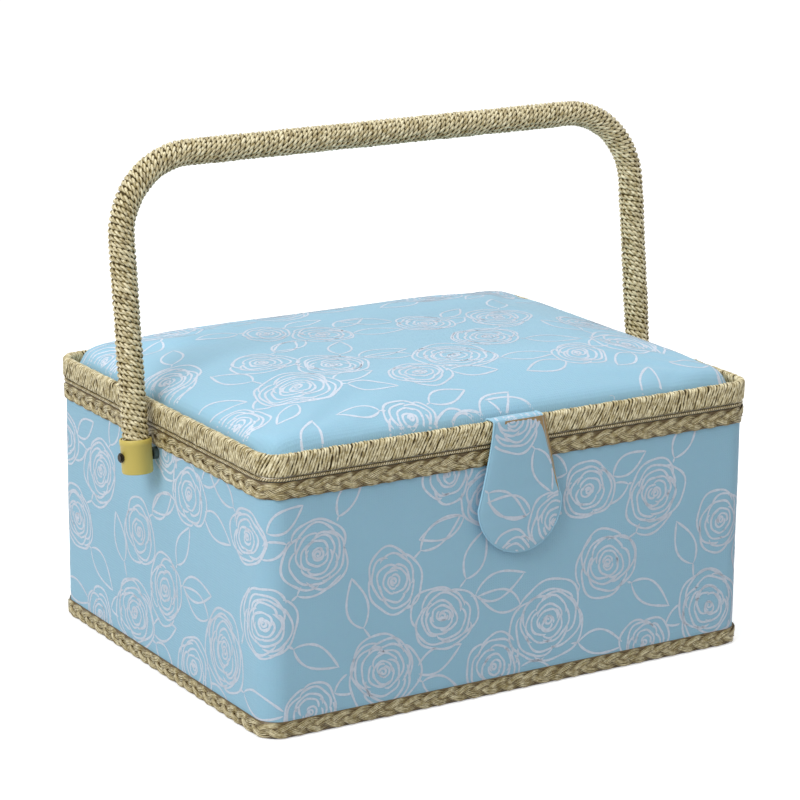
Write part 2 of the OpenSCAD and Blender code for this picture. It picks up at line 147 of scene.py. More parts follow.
class StageSettings(bpy.types.PropertyGroup):
    azimuth: FloatProperty(name="Azimuth", description="Camera's turn round the box", subtype="ANGLE",
                           default=math.radians(-31.73))
    elevation: FloatProperty(name="Elevation", description="Camera's height over the horizon",
                             subtype="ANGLE", default=math.radians(15.28))
    roll: FloatProperty(name="Roll", description="Camera's tilt", subtype="ANGLE",
                        default=math.radians(0.52))
    distance: length_prop("Distance", "Camera's distance from its target", 1697.0)
    target_height: length_prop("Target height", "Height of the point at the picture's middle", 130.8)
    lens: FloatProperty(name="Lens", description="Focal length in millimetres", default=138.9)


# Mesh helpers

def link_object(name, data):
    """A new object of the scene that holds data."""
    made = bpy.data.objects.new(name, data)
    bpy.context.scene.collection.objects.link(made)
    return made


def make_piece(name, points, faces, material, body, uv=None, smooth=True):
    """A new mesh piece that rides on a body, if one is given; uv holds one pair for each vertex."""
    mesh = bpy.data.meshes.new(name)
    mesh.from_pydata(np.asarray(points).tolist(), [], [list(map(int, f)) for f in faces])
    mesh.update()
    if uv is not None:
        layer = mesh.uv_layers.new(name="UVMap")
        index = np.empty(len(mesh.loops), dtype=np.int64)
        mesh.loops.foreach_get("vertex_index", index)
        layer.data.foreach_set("uv", np.asarray(uv, dtype=float)[index].ravel())
    piece = link_object(name, mesh)
    mesh.materials.append(material)
    if smooth:
        mesh.polygons.foreach_set("use_smooth", [True] * len(mesh.polygons))
    if body:
        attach(piece, body)
    return piece


def strand(centres, outward, width, depth, sides, closed=False, turn=0.0, shown=1.0):
    """Points, faces and UVs of a tube along centres; outward gives the way its depth lies.

    U runs from 0 on the hidden side to the value of shown on the crest, and V is the length; the twine material
    paints shade where U is low and a highlight where it is high."""
    centres = np.asarray(centres, dtype=float)
    outward = np.asarray(outward, dtype=float)
    count = len(centres)
    if closed:
        tangent = np.roll(centres, -1, 0) - np.roll(centres, 1, 0)
    else:
        tangent = np.gradient(centres, axis=0)
    step = np.linalg.norm(tangent, axis=1, keepdims=True)
    tangent = tangent / np.maximum(step, 1e-12)
    outward = outward - tangent * (outward * tangent).sum(1, keepdims=True)
    outward = outward / np.maximum(np.linalg.norm(outward, axis=1, keepdims=True), 1e-12)
    across = np.cross(tangent, outward)
    angle = turn + 2 * math.pi * np.arange(sides) / sides
    width = np.broadcast_to(np.asarray(width, dtype=float), (count,))
    depth = np.broadcast_to(np.asarray(depth, dtype=float), (count,))
    ring = (centres[:, None, :]
            + outward[:, None, :] * (depth[:, None, None] / 2) * np.cos(angle)[None, :, None]
            + across[:, None, :] * (width[:, None, None] / 2) * np.sin(angle)[None, :, None])
    rows = np.arange(count if closed else count - 1)
    i, j = np.meshgrid(rows, np.arange(sides), indexing="ij")
    k, n = (i + 1) % count, (j + 1) % sides
    faces = np.stack([i * sides + j, i * sides + n, k * sides + n, k * sides + j], -1)
    faces = faces.reshape(-1, 4).tolist()
    if not closed:
        faces.append(list(range(sides))[::-1])
        faces.append([(count - 1) * sides + j for j in range(sides)])
    along = np.concatenate([[0], np.cumsum(np.linalg.norm(np.diff(centres, axis=0), axis=1))])
    around = np.cos(angle - turn) / 2 + 0.5
    shown = np.broadcast_to(np.asarray(shown, dtype=float), (count,))
    uv = np.stack(np.broadcast_arrays(around[None, :] * shown[:, None], along[:, None]), -1)
    uv = uv.reshape(-1, 2)
    return ring.reshape(-1, 3), faces, uv


def joined(chunks):
    """Several sets of points, faces and UVs as one."""
    points, faces, uvs, start = [], [], [], 0
    for p, f, uv in chunks:
        points.append(p)
        uvs.append(uv)
        faces.extend([[v + start for v in face] for face in f])
        start += len(p)
    return np.concatenate(points), faces, np.concatenate(uvs)


def wobble(x, seed, longest, waves=5):
    """Smooth seeded noise of about unit size, from a few sine waves of falling length."""
    rng = np.random.default_rng(seed)
    total = np.zeros_like(np.asarray(x, dtype=float))
    for i in range(waves):
        length = longest / (1.7 ** i)
        total = total + np.sin(2 * math.pi * x / length + rng.uniform(0, ANY_PHASE)) / (1 + 0.5 * i)
    return total / 2


def loop_breaks(hw, hd, r):
    """Arc lengths at which a rounded rectangle, started at the middle of its back, changes course."""
    a, b, c = hw - r, hd - r, r * math.pi / 2
    return np.cumsum([0, a, c, 2 * b, c, 2 * a, c, 2 * b, c, a])


def loop_at(u, hw, hd, r, offset=0.0):
    """Points and outward directions of a rounded rectangle at arc lengths u, leftwards from its back."""
    breaks = loop_breaks(hw, hd, r)
    a, b = hw - r, hd - r
    u = np.asarray(u, dtype=float) % breaks[-1]
    core_x = np.interp(u, breaks, [0, -a, -a, -a, -a, a, a, a, a, 0])
    core_y = np.interp(u, breaks, [b, b, b, -b, -b, -b, -b, b, b, b])
    heading = np.interp(u, breaks, [2, 2, 3, 3, 4, 4, 5, 5, 6, 6]) * math.pi / 2
    nx, ny = np.cos(heading - math.pi / 2), np.sin(heading - math.pi / 2)
    reach = r + offset
    return core_x + reach * nx, core_y + reach * ny, nx, ny


def level(nx, ny):
    """Outward directions that lie level."""
    return np.stack([nx, ny, np.zeros_like(nx)], -1)


def select_only(piece):
    bpy.ops.object.select_all(action="DESELECT")
    piece.select_set(True)
    bpy.context.view_layer.objects.active = piece


def apply_modifier(piece, kind, **settings):
    select_only(piece)
    modifier = piece.modifiers.new(kind.title(), kind)
    for key, value in settings.items():
        setattr(modifier, key, value)
    bpy.ops.object.modifier_apply(modifier=modifier.name)


# Material helpers

def add(tree, kind, inputs=None, **settings):
    """A node with its settings; inputs maps socket names or numbers to values or to sockets."""
    made = tree.nodes.new(kind)
    for key, value in settings.items():
        setattr(made, key, value)
    for key, value in (inputs or {}).items():
        if isinstance(value, bpy.types.NodeSocket):
            tree.links.new(value, made.inputs[key])
        else:
            made.inputs[key].default_value = value
    return made


def new_material(name, colour, roughness, **sockets):
    """A material with one principled shader, its plain values set on the shader's own sockets."""
    material = bpy.data.materials.new(name)
    material.use_nodes = True
    tree = material.node_tree
    shader = tree.nodes["Principled BSDF"]
    shader.inputs["Base Color"].default_value = (*colour, 1)
    shader.inputs["Roughness"].default_value = roughness
    for key, value in sockets.items():
        shader.inputs[key.replace("_", " ")].default_value = value
    return material, tree, shader


def shade(colour, factor):
    return (*[min(1, c * factor) for c in colour], 1)


def noise(tree, place, scale, detail):
    """A noise texture: its value is output 0 and its colour is output 1."""
    return add(tree, "ShaderNodeTexNoise", {0: place, "Scale": scale, "Detail": detail})


def mottle(tree, shader, factor, colour, dark, light):
    """Lets the shader's colour wander between a darker and a lighter shade."""
    mixed = add(tree, "ShaderNodeMix", {"Factor": factor, 6: shade(colour, dark),
                                        7: shade(colour, light)}, data_type="RGBA")
    tree.links.new(mixed.outputs[2], shader.inputs["Base Color"])


def relief(tree, shader, strength, distance, height):
    """Gives the shader a bumpy surface."""
    bump = add(tree, "ShaderNodeBump", {"Strength": strength, "Distance": distance, "Height": height})
    tree.links.new(bump.outputs[0], shader.inputs["Normal"])


def cotton(name, colour, thread, coordinates, seed=0):
    """Dyed plain-weave cotton: matte, with a soft nap, fine crossed threads and slight unevenness."""
    material, tree, shader = new_material(name, colour, 0.86, IOR=1.5, Sheen_Weight=0.18,
                                          Sheen_Roughness=0.45)
    place = add(tree, "ShaderNodeTexCoord").outputs[coordinates]
    turned = add(tree, "ShaderNodeMapping", {0: place, "Location": (seed, seed, 0)}).outputs[0]
    # Threads are nearer 0.3 mm in cloth like this, which is too fine to show, so they are drawn coarser
    scale = 1 / (thread * 20) * math.pi
    weft, warp = [add(tree, "ShaderNodeTexWave", {0: turned, "Scale": scale, "Distortion": 1.2,
                                                  "Detail Scale": 2.0}, bands_direction=way)
                  for way in "XY"]
    weave = add(tree, "ShaderNodeMath", {0: weft.outputs[1], 1: warp.outputs[1]}, operation="MAXIMUM")
    slub = noise(tree, turned, 260, 4)
    patch = noise(tree, turned, 9, 3)
    mixed = add(tree, "ShaderNodeMix", {"Factor": patch.outputs[0], 6: shade(colour, 0.93),
                                        7: shade(colour, 1.05)}, data_type="RGBA")
    thready = add(tree, "ShaderNodeMix", {"Factor": 0.06, 6: mixed.outputs[2],
                                          7: slub.outputs[1]}, data_type="RGBA", blend_type="SOFT_LIGHT")
    tree.links.new(thready.outputs[2], shader.inputs["Base Color"])
    height = add(tree, "ShaderNodeMath", {0: weave.outputs[0], 1: slub.outputs[0]}, operation="ADD")
    relief(tree, shader, 0.22, 0.4 * MM, height.outputs[0])
    return material


def ink_on_cotton(name, colour, thread):
    """Pigment printed on cotton: chalky and matte, a little uneven where the weave shows through."""
    material, tree, shader = new_material(name, colour, 0.8, IOR=1.5)
    place = add(tree, "ShaderNodeTexCoord").outputs["Object"]
    speck = noise(tree, place, 1 / (thread * 2), 2)
    patch = noise(tree, place, 22, 2)
    both = add(tree, "ShaderNodeMath", {0: speck.outputs[0], 1: patch.outputs[0]}, operation="MULTIPLY")
    ramp = add(tree, "ShaderNodeMapRange", {0: both.outputs[0], 1: 0.1, 2: 0.4})
    mottle(tree, shader, ramp.outputs[0], colour, 0.82, 1.0)
    return material


def viscose_twine(name, twine, fibre, roughness=0.36):
    """Shiny viscose and paper twine: olive and pale fibres, a painted highlight on the crests and painted shade in
    the brown gaps.
    """
    material, tree, shader = new_material(name, twine.pale, roughness, IOR=1.52, Specular_IOR_Level=0.7)
    place = add(tree, "ShaderNodeTexCoord").outputs["UV"]
    # Fibres run along the strand: fine across it and long down it
    drawn = add(tree, "ShaderNodeMapping", {0: place, "Scale": (7, 1 / (fibre * 14), 1)})
    fibres = add(tree, "ShaderNodeTexNoise", {0: drawn.outputs[0], "Scale": 1.0, "Detail": 4,
                                              "Roughness": 0.7}, noise_dimensions="2D")
    where = add(tree, "ShaderNodeTexCoord").outputs["Object"]
    batch = add(tree, "ShaderNodeTexNoise", {0: where, "Scale": 400, "Detail": 4, "Roughness": 0.6})
    both = add(tree, "ShaderNodeMath", {0: fibres.outputs[0], 1: batch.outputs[0]}, operation="ADD")
    # Painted highlight: the crest of each strand, read from U, lifts the colour towards the pale fibre
    crest = add(tree, "ShaderNodeSeparateXYZ", {0: place}).outputs[0]
    fibres_and_painted_highlight = add(tree, "ShaderNodeMath", {0: crest, 1: 0.45, 2: both.outputs[0]},
                 operation="MULTIPLY_ADD")
    bright = add(tree, "ShaderNodeMapRange", {0: fibres_and_painted_highlight.outputs[0], 1: 1.2, 2: 1.62})
    lit = add(tree, "ShaderNodeMix", {"Factor": bright.outputs[0], 6: (*twine.dark, 1), 7: (*twine.pale, 1)},
              data_type="RGBA")
    # Painted shade: the flanks between two strands, where little light reaches, are painted in the deep brown
    painted_flank_shade = add(tree, "ShaderNodeMapRange", {0: crest, 1: 0.45, 2: 0.8})
    mixed = add(tree, "ShaderNodeMix", {"Factor": painted_flank_shade.outputs[0], 6: (*twine.deep, 1),
                                        7: lit.outputs[2]}, data_type="RGBA")
    tree.links.new(mixed.outputs[2], shader.inputs["Base Color"])
    relief(tree, shader, 0.6, 0.25 * MM, fibres.outputs[0])
    return material


def satin(name, colour):
    """Woven polyester satin: smooth and lustrous, with faint puckers."""
    material, tree, shader = new_material(name, colour, 0.42, IOR=1.5, Sheen_Weight=0.25)
    place = add(tree, "ShaderNodeTexCoord").outputs["Object"]
    pucker = noise(tree, place, 38, 3)
    relief(tree, shader, 0.35, 2 * MM, pucker.outputs[0])
    mottle(tree, shader, pucker.outputs[0], colour, 0.92, 1.04)
    return material


def moulded_plastic(name, colour, roughness):
    """Injection-moulded polypropylene: an even colour under a fine spark-eroded grain."""
    material, tree, shader = new_material(name, colour, roughness, IOR=1.49)
    place = add(tree, "ShaderNodeTexCoord").outputs["Object"]
    relief(tree, shader, 0.12, 0.2 * MM, noise(tree, place, 1800, 2).outputs[0])
    mottle(tree, shader, noise(tree, place, 60, 2).outputs[0], colour, 0.95, 1.03)
    return material


def plated_metal(name, colour, roughness):
    """Stamped and plated metal: a satin face with fine rolling lines and small scuffs."""
    material, tree, shader = new_material(name, colour, roughness, Metallic=1.0)
    place = add(tree, "ShaderNodeTexCoord").outputs["Object"]
    lines = add(tree, "ShaderNodeMapping", {0: place, "Scale": (60, 60, 2500)})
    rolled = noise(tree, lines.outputs[0], 1.0, 3)
    scuffs = noise(tree, place, 400, 4)
    rough = add(tree, "ShaderNodeMapRange", {0: scuffs.outputs[0], 3: roughness * 0.8, 4: roughness * 1.3})
    tree.links.new(rough.outputs[0], shader.inputs["Roughness"])
    relief(tree, shader, 0.15, 0.1 * MM, rolled.outputs[0])
    return material


def grained_wood(name, colour):
    """Planed pine: pale, with darker late-wood lines along its length."""
    material, tree, shader = new_material(name, colour, 0.6, IOR=1.5)
    place = add(tree, "ShaderNodeTexCoord").outputs["Object"]
    drawn = add(tree, "ShaderNodeMapping", {0: place, "Scale": (400, 18, 400)})
    mottle(tree, shader, noise(tree, drawn.outputs[0], 1.0, 5).outputs[0], colour, 0.72, 1.1)
    return material


def chipboard(name, colour):
    """Grey-brown paper board: rough, with flecks of darker fibre."""
    material, tree, shader = new_material(name, colour, 0.9, IOR=1.5)
    place = add(tree, "ShaderNodeTexCoord").outputs["Object"]
    mottle(tree, shader, noise(tree, place, 900, 5).outputs[0], colour, 0.65, 1.15)
    return material


# The print: roses and leaves as hand-drawn lines, in millimetres on the flat cloth

REPEAT = (209.0, 150.0)
ROSE_SCALE = 1.1
LEAF_SCALE = 1.15
# A random phase lies below this, about a full turn
ANY_PHASE = 6.28
# Lines this far past a region are skipped, and roses this far from a line can't hide it
PRINT_MARGIN = 40
COVER_REACH = 90
# Share of a rose's radius within which it hides what lies under it
COVER_SHARE = 0.93
ROSES = (
    (20, 34, 21), (56, 58, 19), (26, 82, 17), (88, 24, 17), (122, 44, 22), (160, 70, 18),
    (146, 112, 16), (190, 104, 18), (84, 118, 17), (186, 20, 15), (58, 134, 14),
)
LEAVES = (
    (40, 30, 20, 25), (44, 24, -25, 22), (76, 66, 10, 27), (70, 76, 60, 24), (8, 60, 110, 24),
    (42, 96, 35, 24), (104, 20, -20, 23), (104, 56, 160, 24), (142, 60, 75, 23), (142, 28, -10, 27),
    (178, 84, 20, 22), (176, 56, -30, 26), (162, 118, 30, 20), (132, 124, 150, 25), (172, 112, 200, 20),
    (100, 112, -15, 26), (98, 128, 30, 23), (68, 110, 200, 24), (200, 28, 20, 22), (172, 12, 195, 24),
    (202, 122, 60, 22), (74, 142, 15, 22), (44, 142, 170, 20), (8, 14, 215, 20),
)


def ellipse_frame(cx, cy, rng):
    turn = rng.uniform(0, math.pi)
    squeeze = rng.uniform(0.84, 1.0)
    c, s = math.cos(turn), math.sin(turn)
    return cx, cy, c, s, squeeze


def placed(frame_of, x, y):
    cx, cy, c, s, squeeze = frame_of
    y = y * squeeze
    return np.stack([cx + x * c - y * s, cy + x * s + y * c], -1)


def rose_lines(frame_of, radius, rng):
    """Petal arcs in widening rings round a small coil."""
    lines = []
    rings = max(4, round(radius / 3.5))
    for k in range(1, rings + 1):
        size = radius * (k / rings) ** 0.95
        petals = 2 if k < 3 else 3
        start = rng.uniform(0, ANY_PHASE)
        for j in range(petals):
            span = 2 * math.pi / petals * rng.uniform(1.02, 1.3)
            t = np.linspace(0, 1, max(8, int(size * span / 1.1)))
            angle = start + j * 2 * math.pi / petals + span * t
            reach = size * (0.8 + 0.2 * np.sin(math.pi * t) ** 0.7)
            reach = reach * (1 + 0.04 * np.sin(3 * angle + rng.uniform(0, ANY_PHASE))
                             + 0.02 * np.sin(7 * angle + rng.uniform(0, ANY_PHASE)))
            dx, dy = rng.normal(0, 0.035, 2) * radius
            lines.append(placed(frame_of, reach * np.cos(angle) + dx, reach * np.sin(angle) + dy))
    t = np.linspace(0, 1, 22)
    coil = radius * (0.03 + 0.1 * t)
    lines.append(placed(frame_of, coil * np.cos(9 * t), coil * np.sin(9 * t)))
    return lines


def leaf_lines(x, y, angle, length, rng):
    """Two bowed sides that meet in a point, on a short stem."""
    c, s = math.cos(math.radians(angle)), math.sin(math.radians(angle))
    lines = []
    t = np.linspace(0, 1, int(length / 1.1))
    bend = rng.uniform(-0.1, 0.1) * length
    for side, width in ((1, rng.uniform(0.2, 0.26)), (-1, rng.uniform(0.18, 0.24))):
        run = t * length * rng.uniform(0.99, 1.05)
        out = side * width * length * np.sin(math.pi * t ** 0.8) + bend * t * t
        lines.append(np.stack([x + run * c - out * s, y + run * s + out * c], -1))
    t = np.linspace(0, 1, 8)
    stem = -t * length * 0.35
    lines.append(np.stack([x + stem * c - bend * t * s, y + stem * s + bend * t * c], -1))
    return lines


def print_lines(low, high, shift, seed):
    """Lines of the repeat over a region of flat cloth, each rose hiding what was drawn before it."""
    drawn = []
    columns = range(math.floor((low[0] - shift[0]) / REPEAT[0]) - 1,
                    math.ceil((high[0] - shift[0]) / REPEAT[0]) + 1)
    rows = range(math.floor((low[1] - shift[1]) / REPEAT[1]) - 1,
                 math.ceil((high[1] - shift[1]) / REPEAT[1]) + 1)
    for column in columns:
        for row in rows:
            rng = np.random.default_rng(seed + 31 * (column % 5) + 7 * (row % 5))
            ox = shift[0] + column * REPEAT[0]
            oy = shift[1] + row * REPEAT[1]
            for x, y, angle, length in LEAVES:
                drawn.append((0, None, leaf_lines(ox + x, oy + y, angle, length * LEAF_SCALE, rng)))
            for x, y, radius in ROSES:
                radius = radius * ROSE_SCALE
                frame_of = ellipse_frame(ox + x, oy + y, rng)
                drawn.append((rng.uniform(1, 2), (frame_of, radius), rose_lines(frame_of, radius, rng)))
    drawn.sort(key=lambda item: item[0])
    kept = []
    for index, (_, _, lines) in enumerate(drawn):
        covers = [item[1] for item in drawn[index + 1:] if item[1] is not None]
        for line in lines:
            near = (line[:, 0] > low[0] - PRINT_MARGIN) & (line[:, 0] < high[0] + PRINT_MARGIN)
            if not near.any():
                continue
            seen = np.ones(len(line), dtype=bool)
            for (cx, cy, c, s, squeeze), radius in covers:
                if math.hypot(line[0, 0] - cx, line[0, 1] - cy) > COVER_REACH:
                    continue
                dx, dy = line[:, 0] - cx, line[:, 1] - cy
                along, across = dx * c + dy * s, (dy * c - dx * s) / squeeze
                seen &= np.hypot(along, across) > radius * COVER_SHARE
            seen &= ((line > low) & (line < high)).all(1)
            kept.extend(runs(line, seen))
    return kept


def runs(line, seen):
    """The unbroken stretches of a line that are seen."""
    edges = np.flatnonzero(np.diff(np.concatenate([[0], seen.astype(int), [0]])))
    return [line[a:b] for a, b in zip(edges[::2], edges[1::2]) if b - a > 2]


def ribbons(lines, width, surface):
    """Flat inked ribbons along lines; surface maps flat points to points in space, or None off it."""
    points, faces, uvs, start = [], [], [], 0
    for line in lines:
        direction = np.gradient(line, axis=0)
        direction /= np.maximum(np.linalg.norm(direction, axis=1, keepdims=True), 1e-9)
        side = np.stack([-direction[:, 1], direction[:, 0]], -1)
        t = np.linspace(0, 1, len(line))
        length = np.linalg.norm(np.diff(line, axis=0), axis=1).sum()
        swell = 0.82 + 0.18 * wobble(t * length, len(points) + 3, 17)
        half = (width / MM / 2) * swell * np.clip(np.minimum(t, 1 - t) * 9 + 0.35, 0, 1)
        left, right = line + side * half[:, None], line - side * half[:, None]
        flat = np.stack([left, right], 1).reshape(-1, 2)
        solid, good = surface(flat)
        good = good.reshape(-1, 2).all(1)
        for i in np.flatnonzero(good[:-1] & good[1:]):
            a = start + 2 * i
            faces.append([a, a + 1, a + 3, a + 2])
        points.append(solid)
        uvs.append(flat * MM)
        start += len(flat)
    return np.concatenate(points), faces, np.concatenate(uvs)


def drop_loose(piece):
    """Removes points that no face uses."""
    mesh = bmesh.new()
    mesh.from_mesh(piece.data)
    bmesh.ops.delete(mesh, geom=[v for v in mesh.verts if not v.link_faces], context="VERTS")
    mesh.to_mesh(piece.data)
    mesh.free()


# Walls

def wall_billow(u, z, amount):
    """How far the cloth stands off its flat plane: nothing at the braids, a little between."""
    rise = np.clip((z - WALL_LOW) / (WALL_HIGH - WALL_LOW), 0, 1)
    hold = np.sin(math.pi * rise) ** 0.5
    slow = wobble(u + 0.35 * z, 11, 0.19) + 0.6 * wobble(z + 0.2 * u, 12, 0.13)
    return amount * hold * (slow * 0.5 + 0.35)


class SEWING_OT_wall_cloth(bpy.types.Operator):
    """Printed cotton stretched over the walls, with its seam at the back"""
    bl_idname = "sewing.wall_cloth"
    bl_label = "Wall Cloth"

    FLAT_STEP = 3.5 * MM
    CORNER_STEP = 1.2 * MM
    CLOTH_T = 0.8 * MM

    def execute(self, context):
        cloth = context.scene.sewing_cloth
        ink = context.scene.sewing_print
        breaks = loop_breaks(HALF_W, HALF_D, CORNER_R)
        u = []
        for i in range(len(breaks) - 1):
            step = self.FLAT_STEP if i % 2 == 0 else self.CORNER_STEP
            count = max(2, round((breaks[i + 1] - breaks[i]) / step))
            u.extend(np.linspace(breaks[i], breaks[i + 1], count, endpoint=False))
        u = np.array(u)
        z = np.linspace(WALL_LOW, WALL_HIGH, 40)
        grid_u, grid_z = np.meshgrid(u, z)
        off = wall_billow(grid_u, grid_z, cloth.billow)
        points, faces, uvs = [], [], []
        x, y, nx, ny = loop_at(grid_u, HALF_W, HALF_D, CORNER_R)
        for push in (off, off - self.CLOTH_T):
            points.append(np.stack([x + nx * push, y + ny * push, grid_z], -1).reshape(-1, 3))
            uvs.append(np.stack([grid_u, grid_z], -1).reshape(-1, 2))
        rows, columns = grid_u.shape
        size = rows * columns
        for i in range(rows - 1):
            for j in range(columns):
                n = (j + 1) % columns
                a, b, c, d = i * columns + j, i * columns + n, (i + 1) * columns + n, (i + 1) * columns + j
                faces.append([a, b, c, d])
                faces.append([size + d, size + c, size + b, size + a])
        for j in range(columns):
            n = (j + 1) % columns
            top = (rows - 1) * columns
            faces.append([top + j, top + n, size + top + n, size + top + j])
            faces.append([n, j, size + j, size + n])
        material = cotton("Dyed cotton, walls", cloth.ground, cloth.thread, "UV")
        piece = make_piece("wall_cloth", np.concatenate(points), faces, material, "box",
                           uv=np.concatenate(uvs))
        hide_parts("body_cover")

        def on_wall(flat):
            along, up = flat[:, 0] * MM, flat[:, 1] * MM
            x, y, nx, ny = loop_at(along, HALF_W, HALF_D, CORNER_R)
            push = wall_billow(along, up, cloth.billow) + ink.lift
            return np.stack([x + nx * push, y + ny * push, up], -1), np.ones(len(flat), dtype=bool)

        low = (0.0, 6.0)
        high = (breaks[-1] / MM, WALL_HIGH / MM - 5)
        lines = print_lines(np.array(low), np.array(high), (6.0, -9.0), ink.seed)
        points, faces, uv = ribbons(lines, ink.line, on_wall)
        inked = ink_on_cotton("Printed pigment", cloth.ink, cloth.thread)
        piece = make_piece("wall_print", points, faces, inked, "box", uv=uv)
        drop_loose(piece)
        return {"FINISHED"}


# Lid

def merged_copy(name, node):
    """A copy of a CAD node's mesh with its doubled points merged."""
    mesh = frame["nodes"][node].data.copy()
    mesh.materials.clear()
    piece = link_object(name, mesh)
    work = bmesh.new()
    work.from_mesh(mesh)
    bmesh.ops.remove_doubles(work, verts=work.verts, dist=1e-6)
    work.to_mesh(mesh)
    work.free()
    return piece


class SEWING_OT_lid_cushion(bpy.types.Operator):
    """The padded lid: cloth over foam, swelled by a short cloth simulation, with its print"""
    bl_idname = "sewing.lid_cushion"
    bl_label = "Lid Cushion"

    VOXEL = 4.5 * MM
    # The smaller it is, the fuller the padding stands at its edge
    FULLNESS = 0.45
    MOST_SWELL = 3.5 * MM
    STEPS = 16

    def execute(self, context):
        cloth = context.scene.sewing_cloth
        ink = context.scene.sewing_print
        piece = merged_copy("lid_cushion", "lid_foam")
        apply_modifier(piece, "REMESH", mode="VOXEL", voxel_size=self.VOXEL)
        apply_modifier(piece, "SMOOTH", factor=0.5, iterations=4)
        crease = RIM_HIGH.z - CREASE_DROP
        before = np.array([v.co for v in piece.data.vertices])
        # The padding is stuffed out to its edges, so the crown stands fuller there than an even dome
        top = before[:, 2].max()
        rise = np.clip((before[:, 2] - crease) / (top - crease), 0, 1)
        before[:, 2] = np.where(rise > 0, crease + (top - crease) * rise ** self.FULLNESS, before[:, 2])
        piece.data.vertices.foreach_set("co", before.ravel())
        self.swell(context, piece, crease)
        after = np.array([v.co for v in piece.data.vertices])
        move = after - before
        reach = np.linalg.norm(move, axis=1, keepdims=True)
        after = before + move * np.minimum(1, self.MOST_SWELL / np.maximum(reach, 1e-9))
        after[:, 2] = np.maximum(after[:, 2], before[:, 2].min())
        edge = np.array([RIM_HALF_W - RIM_W, RIM_HALF_D - RIM_W]) + 0.6 * MM
        after[:, :2] = np.clip(after[:, :2], -edge, edge)
        piece.data.vertices.foreach_set("co", after.ravel())
        apply_modifier(piece, "SUBSURF", levels=1, render_levels=1)
        piece.data.materials.append(cotton("Dyed cotton, lid", cloth.ground, cloth.thread, "Object", 3))
        piece.data.polygons.foreach_set("use_smooth", [True] * len(piece.data.polygons))
        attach(piece, "lid")
        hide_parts("lid_cover", "lid_foam")
        self.draw_print(context, piece, cloth, ink)
        return {"FINISHED"}

    def swell(self, context, piece, crease):
        """Blows the padding up against its cloth; the edge behind the rim is held."""
        held = piece.vertex_groups.new(name="held")
        held.add([v.index for v in piece.data.vertices if v.co.z < crease], 1.0, "REPLACE")
        select_only(piece)
        modifier = piece.modifiers.new("Cloth", "CLOTH")
        settings = modifier.settings
        settings.vertex_group_mass = "held"
        settings.use_pressure = True
        settings.uniform_pressure_force = 1.6
        settings.quality = 5
        settings.mass = 0.2
        settings.tension_stiffness = 12
        settings.bending_stiffness = 0.6
        settings.effector_weights.gravity = 0
        modifier.point_cache.frame_start = 1
        modifier.point_cache.frame_end = self.STEPS
        for step in range(1, self.STEPS + 1):
            context.scene.frame_set(step)
        bpy.ops.object.modifier_apply(modifier=modifier.name)
        context.scene.frame_set(1)

    def draw_print(self, context, piece, cloth, ink):
        """Lays the inked lines on the finished cushion."""
        tree = BVHTree.FromObject(piece, context.evaluated_depsgraph_get())
        edge = np.array([RIM_HALF_W - RIM_W, RIM_HALF_D - RIM_W]) - 0.4 * MM

        def on_lid(flat):
            points = np.zeros((len(flat), 3))
            good = np.zeros(len(flat), dtype=bool)
            for i, (x, y) in enumerate(flat * MM):
                if abs(x) > edge[0] or abs(y) > edge[1]:
                    continue
                hit, normal, _, _ = tree.ray_cast(Vector((x, y, 0.3)), Vector((0, 0, -1)))
                if hit is not None and normal.z > 0.05:
                    points[i] = hit + normal * ink.lift
                    good[i] = True
            return points, good

        limit = edge / MM
        lines = print_lines(-limit, limit, (-118.0, -92.0), ink.seed + 5)
        points, faces, uv = ribbons(lines, ink.line, on_lid)
        inked = ink_on_cotton("Printed pigment, lid", cloth.ink, cloth.thread)
        drawn = make_piece("lid_print", points, faces, inked, "lid", uv=uv)
        drop_loose(drawn)


# Tab

def tab_route(s):
    """Middle of the tab's thickness at distances along it, from the lid's crease to its end."""
    axis_y = TAB_AXIS.y
    top_z = RIM_HIGH.z + 0.8 * MM
    start_y = -(RIM_HALF_D - RIM_W) - 0.3 * MM
    bend = 1.5 * MM
    flat = start_y - (axis_y + bend)
    arc = bend * math.pi / 2
    s = np.asarray(s, dtype=float)
    angle = np.clip((s - flat) / arc, 0, 1) * math.pi / 2
    y = np.where(s < flat, start_y - s, axis_y + bend - bend * np.sin(angle))
    z = top_z - bend + bend * np.cos(angle) - np.clip(s - flat - arc, 0, None)
    inside = np.clip(RIM_SECTION_R - s - 0.3 * MM, 0, None)
    z = z - (RIM_SECTION_R - np.sqrt(RIM_SECTION_R ** 2 - inside ** 2))
    ny = -np.sin(angle)
    nz = np.cos(angle)
    return y, z, ny, nz, flat + arc


